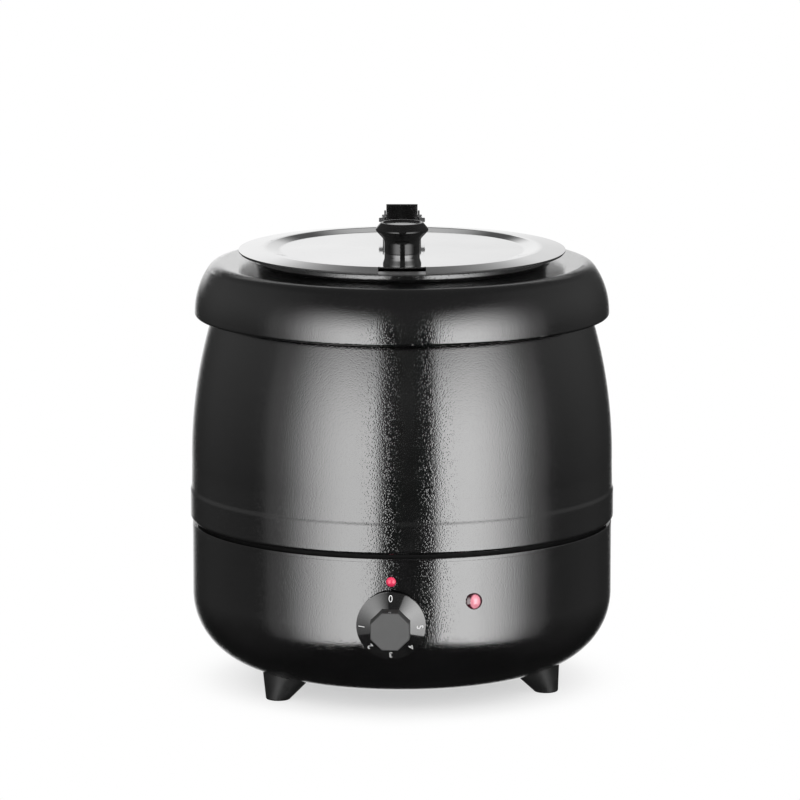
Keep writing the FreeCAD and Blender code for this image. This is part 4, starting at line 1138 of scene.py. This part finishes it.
@dataclass
class Barrel(SubAssembly):
    """The hammered body: bowl, seam, barrel and shoulder cap, with a swell down to the hem.

    Attributes:
        hem: Radius of the hem, and height where the swell has reached it.
        swell_top: Radius and height where the wall begins to swell.
        crease: Heights between which most of the swell lies.
        crease_share: Share of the swell that lies there.
        swell_inner: Radius of the swell's back, inside the sheet.
        swell_steps: Faces up the swell.
        swell_sides: Faces round it.
    """

    nodes: tuple[str, ...] = ("lower_shell", "seam_ring", "seam_bolts", "seam_nuts", "mid_shell",
                              "shoulder_cap", "cap_studs", "cap_nuts", "tank_gasket", "water_tank")
    hem: Pair = (0.1726, 0.1596)
    swell_top: Pair = (0.171475, 0.181)
    crease: Pair = (0.1597, 0.1638)
    crease_share: float = 0.75
    swell_inner: float = 0.1705
    swell_steps: int = 60
    swell_sides: int = 288

    def build(self) -> list[Piece]:
        """Builds the swell over the step above the hem.

        Returns:
            The swell.
        """
        (foot_radius, foot), (top_radius, top) = self.hem, self.swell_top
        outer = []
        for step in range(self.swell_steps + 1):
            height = foot + (top - foot) * step / self.swell_steps
            slow, quick = eased(height, foot, top), eased(height, *self.crease)
            share = slow * (1 - self.crease_share) + quick * self.crease_share
            outer.append((foot_radius + (top_radius - foot_radius) * share, height))
        section = [(self.swell_inner, foot), *outer, (self.swell_inner, top)]
        swell = turned_ring("hem_swell", section, Matrix.Identity(4), self.swell_sides)
        return [self.wardrobe.dress_piece(swell, Slot.HAMMERED_BLACK, Body.KETTLE)]


@dataclass
class Heater(SubAssembly):
    """The element, thermostat, cut-out and their fixings under the tank."""

    nodes: tuple[str, ...] = ("thermostat_body", "thermostat_bracket", "thermostat_screws",
                              "capillary_bulb", "element_clips", "bulb_clip", "clip_studs",
                              "clip_nuts", "heating_element", "heat_shield", "shield_studs",
                              "shield_spacers", "shield_nuts", "thermal_cutout", "cutout_studs",
                              "cutout_nuts", "terminal_block", "terminal_block_screws")


@dataclass
class Signals(SubAssembly):
    """The red pilot lamp and the red index stud over the dial.

    Attributes:
        window_shift: Middle of the lamp's window to the right of the lens's middle.
    """

    nodes: tuple[str, ...] = ("pilot_lamp_body", "pilot_lamp_nut", "dial_index")
    window_shift: float = 0.0003

    def own_finishes(self) -> dict[str, Finish]:
        """Puts a pink window inside the lens, with painted shade round it.

        Returns:
            The lens's finish.
        """
        low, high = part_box("pilot_lamp_lens")
        middle = (low + high) / 2
        sideways = Vector((-middle.y, middle.x, 0.0)).normalized()
        window = LampWindow(**vars(FINISHES[Slot.LAMP_LENS]), sideways=sideways.to_tuple(),
                            middle=(middle + sideways * self.window_shift).to_tuple())
        return {"pilot_lamp_lens": window}


@dataclass
class ScrewCircle:
    """Screws in a circle, with their heads downwards.

    Attributes:
        node: The packed node that they are shown for.
        screw: What each one is like.
        radius: Radius of the circle.
        seat: Height of their seats.
        azimuths: Degrees from the front towards +X of each one.
    """

    node: str
    screw: ScrewHead
    radius: float
    seat: float
    azimuths: tuple[float, ...]

    def solid(self) -> Piece:
        """Makes the screws, as long as the packed ones.

        Returns:
            One piece that holds them all.
        """
        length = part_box(self.node)[1].z - self.seat
        low = Matrix.Translation((0.0, 0.0, self.seat)) @ Matrix.Rotation(math.pi, 4, "X")
        places = [place @ low for place in around(self.azimuths, self.radius)]
        return self.screw.solid(places, length, f"{self.node}_dressed")


@dataclass
class Underside(SubAssembly):
    """The base plate and the feet, with screws whose heads show from below.

    Attributes:
        plate_screws: The base plate's screws.
        foot_screws: The feet's screws.
    """

    nodes: tuple[str, ...] = ("base_plate", "foot_left", "foot_right", "foot_rear", "foot_nuts")
    plate_screws: ScrewCircle = field(default_factory=lambda: ScrewCircle(
        "base_plate_screws", ScrewHead(thread=0.0018, head=0.00324, height=0.002),
        radius=0.093, seat=0.0148, azimuths=(45.0, 135.0, 225.0, 315.0)))
    foot_screws: ScrewCircle = field(default_factory=lambda: ScrewCircle(
        "foot_screws", ScrewHead(thread=0.002, head=0.0036, height=0.003),
        radius=0.124, seat=0.005, azimuths=(-52.3, 67.7, 187.7)))

    def build(self) -> list[Piece]:
        """Builds the screws.

        Returns:
            The base plate's screws and the feet's screws.
        """
        return [self.wardrobe.dress_piece(row.solid(), Slot.ZINC_STEEL, Body.KETTLE, row.node)
                for row in (self.plate_screws, self.foot_screws)]


@dataclass
class CordInlet(SubAssembly):
    """The gland at the back, with grip ribs round its domed cap.

    Attributes:
        height: Height of its axis.
        wall: Distance from the body's axis to the wall that it stands on.
        rib_count: Ribs round the cap.
        rib_inner: Radius where a rib starts, inside the cap.
        rib_outer: Radius of a rib's crown.
        rib_width: Width of a rib at its root.
        rib_from: Start of the ribs, out from the wall.
        rib_length: Their length.
        rib_straight: Share of the length before a rib slopes down.
        rib_end: Height of its end, as a share of its full height.
        rib_crown: Width of its crown, as a share of its root's.
    """

    nodes: tuple[str, ...] = ("cable_gland", "gland_nut")
    height: float = 0.092
    wall: float = 0.171
    rib_count: int = 18
    rib_inner: float = 0.0097
    rib_outer: float = 0.0107
    rib_width: float = 0.0016
    rib_from: float = 0.0055
    rib_length: float = 0.0096
    rib_straight: float = 0.8
    rib_end: float = 0.1
    rib_crown: float = 0.45

    def build(self) -> list[Piece]:
        """Builds the ribs.

        Returns:
            One piece that holds them all.
        """
        built = bmesh.new()
        wall = Matrix.Translation((0.0, self.wall, self.height))
        outwards = wall @ Matrix.Rotation(-math.pi / 2, 4, "X")
        ends = ((self.rib_from, 1.0), (self.rib_from + self.rib_straight * self.rib_length, 1.0),
                (self.rib_from + self.rib_length, self.rib_end))
        half = self.rib_width / 2
        half_crown = half * self.rib_crown
        for step in range(self.rib_count):
            place = outwards @ Matrix.Rotation(2 * math.pi * step / self.rib_count, 4, "Z")
            sections = []
            for along, share in ends:
                crown = self.rib_inner + (self.rib_outer - self.rib_inner) * share
                points = ((self.rib_inner, -half), (crown, -half_crown), (crown, half_crown),
                          (self.rib_inner, half))
                sections.append([built.verts.new(place @ Vector((radius, side, along)))
                                 for radius, side in points])
            built.faces.new(sections[0])
            built.faces.new(sections[-1][::-1])
            for low, high in zip(sections, sections[1:]):
                for side in range(4):
                    other = (side + 1) % 4
                    built.faces.new((low[side], low[other], high[other], high[side]))
        ribs = from_bmesh("gland_ribs", built)
        return [self.wardrobe.dress_piece(ribs, Slot.FOOT_PLASTIC, Body.KETTLE)]


@dataclass
class SoupPot(SubAssembly):
    """The lift-out pot with the fixed half of the hinge.

    Attributes:
        pin_radius: Radius of the hinge pin.
        pin_half: Half its length without its peened ends.
        pin_end: Height of a peened end.
    """

    nodes: tuple[str, ...] = ("soup_pot", "hinge_base", "hinge_base_rivets")
    pin_radius: float = 0.002
    pin_half: float = 0.01615
    pin_end: float = 0.0006

    def build(self) -> list[Piece]:
        """Builds the hinge pin with rounded ends.

        Returns:
            The pin.
        """
        low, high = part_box("hinge_pin")
        place = Matrix.Translation((low + high) / 2) @ Matrix.Rotation(math.pi / 2, 4, "Y")
        upper = dome(self.pin_radius, self.pin_end, self.pin_half)
        profile = [(radius, -height) for radius, height in reversed(upper)] + upper
        built = bmesh.new()
        lathe(built, profile, place)
        pin = from_bmesh("hinge_pin_dressed", built)
        return [self.wardrobe.dress_piece(pin, Slot.BRIGHT_STEEL, Body.POT, "hinge_pin")]


@dataclass
class Lid(SubAssembly):
    """The mirror lid with its knob and the moving half of the hinge.

    Attributes:
        knob_finish: The knob's own finish, without a polished skin.
        knob_screw: The screw that holds the knob.
        screw_length: Length of its thread.
        knob_forward: Knob's axis in front of the lid's middle.
        screw_seat: Height of that screw's seat, under its washer.
        rivet_x: Rivets left and right of the middle.
        rivet_y: Rivets behind the lid's middle.
        rivet_shank: Radius of a rivet.
        rivet_head: Radius of its heads.
        rivet_rise: Height of a head.
        rivet_edge: Share of that height that is upright.
        rivet_span: Heights of the two faces that it joins.
    """

    nodes: tuple[str, ...] = ("lid_disc", "knob_foot", "knob_washer", "lid_bracket", "cross_pin",
                              "hinge_arm")
    knob_finish: Plastic = Plastic(grey(0.004), grey(0.007), 0.08, 0.14, grain=700.0,
                                   grain_depth=0.000003)
    knob_screw: ScrewHead = field(
        default_factory=lambda: ScrewHead(thread=0.0025, head=0.005, height=0.0032))
    screw_length: float = 0.0256
    knob_forward: float = 0.081484
    screw_seat: float = 0.3539
    rivet_x: float = 0.01115
    rivet_y: float = 0.092398
    rivet_shank: float = 0.002
    rivet_head: float = 0.0034
    rivet_rise: float = 0.0012
    rivet_edge: float = 0.2
    rivet_span: Pair = (0.3551, 0.3573)

    def own_finishes(self) -> dict[str, Finish]:
        """The knob's finish."""
        return {"lid_knob": self.knob_finish}

    def build(self) -> list[Piece]:
        """Builds the knob's screw and the bracket's rivets.

        Returns:
            The screw and the rivets.
        """
        seat = Matrix.Translation((0.0, -self.knob_forward, self.screw_seat))
        downwards = seat @ Matrix.Rotation(math.pi, 4, "X")
        screw = self.knob_screw.solid([downwards], self.screw_length, "knob_screw_dressed")
        low, high = self.rivet_span
        edge = self.rivet_rise * self.rivet_edge
        upper = dome(self.rivet_head, self.rivet_rise - edge, high + edge)
        lower = [(radius, low + high - height) for radius, height in reversed(upper)]
        shank = [(self.rivet_head, low), (self.rivet_shank, low), (self.rivet_shank, high),
                 (self.rivet_head, high)]
        built = bmesh.new()
        for x in (-self.rivet_x, self.rivet_x):
            lathe(built, lower + shank + upper, Matrix.Translation((x, self.rivet_y, 0.0)))
        rivets = from_bmesh("lid_bracket_rivets_dressed", built)
        dress = self.wardrobe.dress_piece
        return [dress(screw, Slot.ZINC_STEEL, Body.LID, "knob_screw"),
                dress(rivets, Slot.BRIGHT_STEEL, Body.LID, "lid_bracket_rivets")]


@dataclass
class HeatDial(SubAssembly):
    """The heat dial, its shaft and clip, and the numbers printed on its cone.

    Attributes:
        stand_off: Back of the skirt out from the wall.
        cone_foot: Radius and height of the cone's edge, from the back of the skirt.
        cone_top: The same at the ledge round the grip.
        crown: Radius where the crown over the ledge ends in the grip, and height of its underside.
        crown_sides: Faces round the crown.
        print_radius: Radius of the middle of the numbers.
        digit_height: Height of a number.
        digit_slim: Width of a number, as a share of the type's own.
        digit_thin: How much thinner its strokes are, as a share of the type's size.
        digit_steps: Points along each curve of its outline.
        ink: Thickness of the print.
        turns: Degrees from the top of the dial, anticlockwise, for each number.
    """

    nodes: tuple[str, ...] = ("thermostat_shaft", "dial_clip")
    stand_off: float = 0.0014
    cone_foot: Pair = (0.0275, 0.0022)
    cone_top: Pair = (0.0176, 0.0078)
    crown: Pair = (0.0152, 0.0076)
    crown_sides: int = 96
    print_radius: float = 0.0232
    digit_height: float = 0.0056
    digit_slim: float = 0.84
    digit_thin: float = 0.012
    digit_steps: int = 6
    ink: float = 0.00005
    turns: tuple[float, ...] = (0.0, 90.0, 135.0, 180.0, 225.0, 270.0)

    def dial_place(self) -> Matrix:
        """Finds the dial by its joint.

        Returns:
            Where the back of the skirt is, with Z outwards and Y up.
        """
        joint = next(row for row in self.frame["joints"] if row["name"] == "dial_turn")
        out = -Vector(joint["axis"]).normalized()
        across = Vector(UPWARDS).cross(out).normalized()
        turn = Matrix((across, out.cross(across), out)).transposed().to_4x4()
        return Matrix.Translation(Vector(joint["pos_m"]) + out * self.stand_off) @ turn

    def digit(self, text: str) -> bpy.types.Mesh:
        """Makes a number's flat shape, centred and scaled to size.

        Args:
            text: The number.

        Returns:
            Its mesh.
        """
        curve = bpy.data.curves.new(f"type_{text}", "FONT")
        curve.body = text
        curve.offset = -self.digit_thin
        curve.resolution_u = self.digit_steps
        writing = linked(f"type_{text}", curve)
        mesh = settled(writing)
        bpy.data.objects.remove(writing)
        flat = ((vertex.co.x, vertex.co.y) for vertex in mesh.vertices)
        spans = [(min(axis), max(axis)) for axis in zip(*flat)]
        scale = self.digit_height / (spans[1][1] - spans[1][0])
        middle = [(low + high) / 2 for low, high in spans]
        for vertex in mesh.vertices:
            vertex.co.x = (vertex.co.x - middle[0]) * scale * self.digit_slim
            vertex.co.y = (vertex.co.y - middle[1]) * scale
        return mesh

    def on_cone(self, x: float, y: float, turn: float, lift: float) -> Vector:
        """Carries a point of a flat number to the cone.

        Args:
            x: To the right of the number's middle.
            y: Outwards from its middle.
            turn: Degrees anticlockwise from the top of the dial.
            lift: How far it stands off the cone.

        Returns:
            The point, from the back of the skirt.
        """
        run = self.cone_foot[0] - self.cone_top[0]
        rise = self.cone_top[1] - self.cone_foot[1]
        slope = math.hypot(run, rise)
        share = (self.print_radius - self.cone_top[0] + y * run / slope) / run
        radius = self.cone_top[0] + share * run + lift * rise / slope
        height = self.cone_top[1] - share * rise + lift * run / slope
        angle = math.radians(90.0 + turn) - x / radius
        return Vector((radius * math.cos(angle), radius * math.sin(angle), height))

    def cone_crown(self, place: Matrix) -> Piece:
        """Carries the cone on over the ledge, up to the flats of the grip.

        Args:
            place: Where the back of the skirt is.

        Returns:
            The crown.
        """
        slope = (self.cone_top[1] - self.cone_foot[1]) / (self.cone_foot[0] - self.cone_top[0])
        inner, under = self.crown
        outer, ledge = self.cone_top
        top = ledge + (outer - inner) * slope
        section = [(inner, under), (outer, under), (outer, ledge), (inner, top)]
        crown = turned_ring("dial_cone_crown", section, place, self.crown_sides)
        return self.wardrobe.dress_piece(crown, Slot.BLACK_GLOSS_PLASTIC, Body.DIAL)

    def own_finishes(self) -> dict[str, Finish]:
        """Gives the dial its gloss, with a satin grip.

        Returns:
            The dial's finish.
        """
        place = self.dial_place()
        gloss = FINISHES[Slot.BLACK_GLOSS_PLASTIC]
        axis = (place.to_3x3() @ Vector(UPWARDS)).to_tuple()
        foot = (place @ Vector((0.0, 0.0, -self.stand_off))).to_tuple()
        return {"dial_knob": DialMoulding(**vars(gloss), foot=foot, outwards=axis)}

    def build(self) -> list[Piece]:
        """Builds the dial's crown and prints its numbers.

        Returns:
            The crown and a piece for each number.
        """
        place = self.dial_place()
        made = [self.cone_crown(place)]
        for number, turn in enumerate(self.turns):
            flat = self.digit(str(number))
            built = bmesh.new()
            built.from_mesh(flat)
            bpy.data.meshes.remove(flat)
            grown = bmesh.ops.extrude_face_region(built, geom=built.faces[:])["geom"]
            raised = {item for item in grown if isinstance(item, bmesh.types.BMVert)}
            for vertex in built.verts:
                lift = self.ink if vertex in raised else -self.ink
                vertex.co = place @ self.on_cone(vertex.co.x, vertex.co.y, turn, lift)
            piece = from_bmesh(f"dial_number_{number}", built)
            made.append(self.wardrobe.dress_piece(piece, Slot.DIAL_PRINT, Body.DIAL))
        return made


@dataclass
class Softbox:
    """A large upright lamp whose light fades to one side and to the top.

    Attributes:
        name: Its name.
        azimuth: Degrees from the front towards +X of its middle.
        inner_right: Whether its bright side is the right one, seen from the lamp.
        power: Its power.
        fade: Shares of its width, from the outer side, where its light begins and where it is full.
        dimmest: Share of its light at its outer side.
        top_fade: Shares of its height where its light begins to fade and where it ends.
        distance: From the kettle's axis.
        middle: Height of its middle.
        width: Its width.
        height: Its height.
    """

    name: str
    azimuth: float
    inner_right: bool
    power: float
    fade: Pair
    dimmest: float = 0.06
    top_fade: Pair = (0.45, 0.98)
    distance: float = 1.6
    middle: float = 0.35
    width: float = 2.0
    height: float = 2.6

    def hang(self) -> None:
        """Hangs the lamp."""
        data = bpy.data.lights.new(self.name, "AREA")
        data.shape = "RECTANGLE"
        data.size = self.width
        data.size_y = self.height
        data.energy = self.power
        data.use_nodes = True
        board = TreeBoard(data.node_tree)
        emission = next(node for node in board.tree.nodes if node.type == "EMISSION")
        across, upward, _ = board.parts(board.add("ShaderNodeNewGeometry").outputs["Parametric"])
        outer, inner = self.fade if self.inner_right else (1.0 - share for share in self.fade)
        level = board.times(board.spread(across, self.dimmest, 1.0, outer, inner),
                            board.spread(upward, 1.0, 0.0, *self.top_fade))
        board.join(level, emission.inputs["Strength"])
        angle = math.radians(self.azimuth)
        lamp = linked(self.name, data)
        lamp.location = (self.distance * math.sin(angle), -self.distance * math.cos(angle),
                         self.middle)
        towards = Vector((0.0, 0.0, self.middle)) - lamp.location
        lamp.rotation_euler = towards.to_track_quat("-Z", "Y").to_euler()
        lamp.visible_camera = False
        lamp.visible_diffuse = False


@dataclass
class Studio:
    """The pale floor, the lamps, the backdrop and the camera.

    Attributes:
        eye: Where the camera stands.
        aim: What it looks at.
        lens: Its focal length in millimetres.
        sensor: Width of its sensor in millimetres.
        view_end: How far it sees.
        softboxes: The upright lamps.
        floor_radius: Radius of the floor.
        floor_sides: Corners of the floor.
        floor_bounce: Colour of the floor in the light that it throws back.
        shade_from: Radius on the floor up to which it shows the whole of the kettle's shade.
        shade_to: Radius from which it is plain white.
        glow: Share of the floor's light that shines through it from below.
        top_power: Power of the lamp overhead.
        top_size: Its width.
        top_place: Where it hangs.
        backdrop: Light of the white backdrop behind, as shiny surfaces show it.
        near_edge: Directions towards +Y where the backdrop begins and where it is full.
        top_edge: Directions upwards where it begins to fade and where it ends.
        right_edge: The same towards +X.
        low_right_edge: Like right_edge, below eye level.
        low_left_edge: The same towards -X.
        eye_level: Directions upwards between which the lower edges give way to the upper ones.
        strip: Light of a pale strip over the backdrop, as a share of the backdrop's.
        strip_side: Directions to either side where the strip begins to fade and where it ends.
        strip_foot: Directions upwards where it begins and where it is full.
        strip_top: Directions towards +Y where it begins, at its top, and where it is full.
        gloom: Light of the rest of the room on shiny surfaces, in the middle and to either side.
        high_gloom: The same higher up.
        gloom_rise: Directions upwards where the room turns lighter and where it is lightest.
        gloom_side: Directions to either side where it turns lighter and where it is lightest.
        dome: Light of the room on dull surfaces, from the back and from the front.
        dome_turn: Directions towards +Y where the one begins to turn to the other, and ends.
    """

    eye: Triple = (-0.0016, -5.0, 1.093)
    aim: Triple = (-0.0016, 0.0, 0.232)
    lens: float = 280.0
    sensor: float = 36.0
    view_end: float = 100.0
    softboxes: tuple[Softbox, ...] = field(default_factory=lambda: (
        Softbox("softbox_left", azimuth=-44.0, inner_right=True, power=62.0, fade=(0.14, 0.74)),
        Softbox("softbox_right", azimuth=50.5, inner_right=False, power=70.0, fade=(0.1, 0.73))))
    floor_radius: float = 3.0
    floor_sides: int = 96
    floor_bounce: Colour = grey(0.8)
    shade_from: float = 0.06
    shade_to: float = 0.205
    glow: float = 0.5
    top_power: float = 36.0
    top_size: float = 2.0
    top_place: Triple = (0.0, -0.1, 2.3)
    backdrop: float = 0.97
    near_edge: Pair = (0.87, 0.965)
    top_edge: Pair = (0.24, 0.38)
    right_edge: Pair = (-0.06, 0.34)
    low_right_edge: Pair = (0.0, 0.28)
    low_left_edge: Pair = (-0.02, -0.42)
    eye_level: Pair = (-0.06, 0.04)
    strip: float = 0.45
    strip_side: Pair = (0.3, 0.55)
    strip_foot: Pair = (0.42, 0.52)
    strip_top: Pair = (0.68, 0.82)
    gloom: Pair = (0.01, 0.05)
    high_gloom: Pair = (0.09, 0.2)
    gloom_rise: Pair = (-0.45, 0.35)
    gloom_side: Pair = (0.45, 1.0)
    dome: Pair = (0.45, 1.5)
    dome_turn: Pair = (0.1, -0.8)

    def set_up(self) -> None:
        """Sets up the whole studio."""
        bpy.context.scene.view_settings.view_transform = "Standard"
        self.lay_floor()
        self.hang_backdrop()
        for softbox in self.softboxes:
            softbox.hang()
        self.hang_top_lamp()
        self.stand_camera()

    def lay_floor(self) -> None:
        """Lays a white floor that shows the kettle's shade and is plain white further off."""
        built = bmesh.new()
        bmesh.ops.create_circle(built, cap_ends=True, segments=self.floor_sides,
                                radius=self.floor_radius)
        floor = from_bmesh("floor", built)
        floor.visible_glossy = False
        floor.visible_shadow = False
        board = NodeBoard("floor_white")
        board.tree.nodes.remove(board.surface)
        far = board.spread(board.length(board.place), self.glow, 1.0, self.shade_from,
                           self.shade_to)
        near, bounce = (board.add("ShaderNodeBsdfDiffuse") for _ in range(2))
        near.inputs["Color"].default_value = WHITE
        bounce.inputs["Color"].default_value = (*self.floor_bounce, 1.0)
        plain = board.add("ShaderNodeEmission")
        shown = board.either(far, near.outputs["BSDF"], plain.outputs["Emission"])
        seen = board.add("ShaderNodeLightPath").outputs["Is Camera Ray"]
        surface = board.either(seen, bounce.outputs["BSDF"], shown)
        board.join(surface, board.output.inputs["Surface"])
        floor.data.materials.append(board.material)

    def hang_backdrop(self) -> None:
        """Makes the room white to the camera, with a white backdrop that shiny surfaces show."""
        world = bpy.data.worlds.new("studio")
        world.use_nodes = True
        bpy.context.scene.world = world
        board = TreeBoard(world.node_tree)
        board.tree.nodes.clear()
        x, y, z = board.parts(board.add("ShaderNodeTexCoord").outputs["Generated"])
        skies = [board.add("ShaderNodeBackground") for _ in range(3)]
        for sky in skies:
            sky.inputs["Color"].default_value = WHITE
        dull, shiny, plain = skies
        board.join(board.spread(y, *self.dome, *self.dome_turn), dull.inputs["Strength"])
        board.join(self.mirrored_room(board, x, y, z), shiny.inputs["Strength"])
        path = board.add("ShaderNodeLightPath").outputs
        mirrored = board.reckon("MAXIMUM", path["Is Glossy Ray"], path["Is Transmission Ray"])
        lit = board.either(mirrored, dull.outputs["Background"], shiny.outputs["Background"])
        room = board.either(path["Is Camera Ray"], lit, plain.outputs["Background"])
        board.join(room, board.add("ShaderNodeOutputWorld").inputs["Surface"])

    def mirrored_room(self, board: TreeBoard, x: Socket, y: Socket, z: Socket) -> Socket:
        """The light of backdrop, strip and room, as shiny surfaces show them.

        Args:
            board: Where the nodes go.
            x: The part of the direction towards +X.
            y: The part towards +Y.
            z: The part upwards.

        Returns:
            The strength of the light.
        """
        def fades(part: Socket, ends: Pair) -> Socket:
            """Goes from 1 to 0 between two directions."""
            return board.spread(part, 1.0, 0.0, *ends)

        def grows(part: Socket, ends: Pair) -> Socket:
            """Goes from 0 to 1 between two directions."""
            return board.spread(part, 0.0, 1.0, *ends)

        aside = board.reckon("ABSOLUTE", x)
        dusks = [board.spread(aside, *levels, *self.gloom_side)
                 for levels in (self.gloom, self.high_gloom)]
        dusk = board.between(grows(z, self.gloom_rise), *dusks)
        upper = board.times(fades(x, self.right_edge), fades(z, self.top_edge))
        lower = board.times(fades(x, self.low_right_edge), fades(x, self.low_left_edge))
        sheet = board.times(board.between(grows(z, self.eye_level), lower, upper),
                            grows(y, self.near_edge))
        strip = board.times(fades(aside, self.strip_side),
                            board.times(grows(z, self.strip_foot), grows(y, self.strip_top)))
        white = board.sum(sheet, strip, self.strip)
        return board.between(white, dusk, self.backdrop)

    def hang_top_lamp(self) -> None:
        """Hangs a broad lamp overhead that lights the floor round the kettle."""
        data = bpy.data.lights.new("top_lamp", "AREA")
        data.shape = "DISK"
        data.size = self.top_size
        data.energy = self.top_power
        lamp = linked("top_lamp", data)
        lamp.location = self.top_place
        lamp.visible_camera = False
        lamp.visible_glossy = False

    def stand_camera(self) -> None:
        """Stands the camera where the photograph was taken from."""
        data = bpy.data.cameras.new("camera")
        data.lens = self.lens
        data.sensor_width = self.sensor
        data.clip_end = self.view_end
        camera = linked("camera", data)
        camera.location = self.eye
        towards = Vector(self.aim) - Vector(self.eye)
        camera.rotation_euler = towards.to_track_quat("-Z", "Y").to_euler()
        bpy.context.scene.camera = camera


def main() -> None:
    """Loads the packed kettle, builds and dresses its sub-assemblies, and sets up the studio."""
    logging.basicConfig(level=logging.INFO, format="%(message)s")
    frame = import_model()
    wardrobe = Wardrobe(frame)
    for assembly in (Barrel, Heater, Signals, Underside, CordInlet, SoupPot, Lid, HeatDial):
        for piece in assembly(wardrobe, frame).make():
            log.info("%s: %s", assembly.__name__, piece)
    Studio().set_up()


if __name__ == "__main__":
    main()
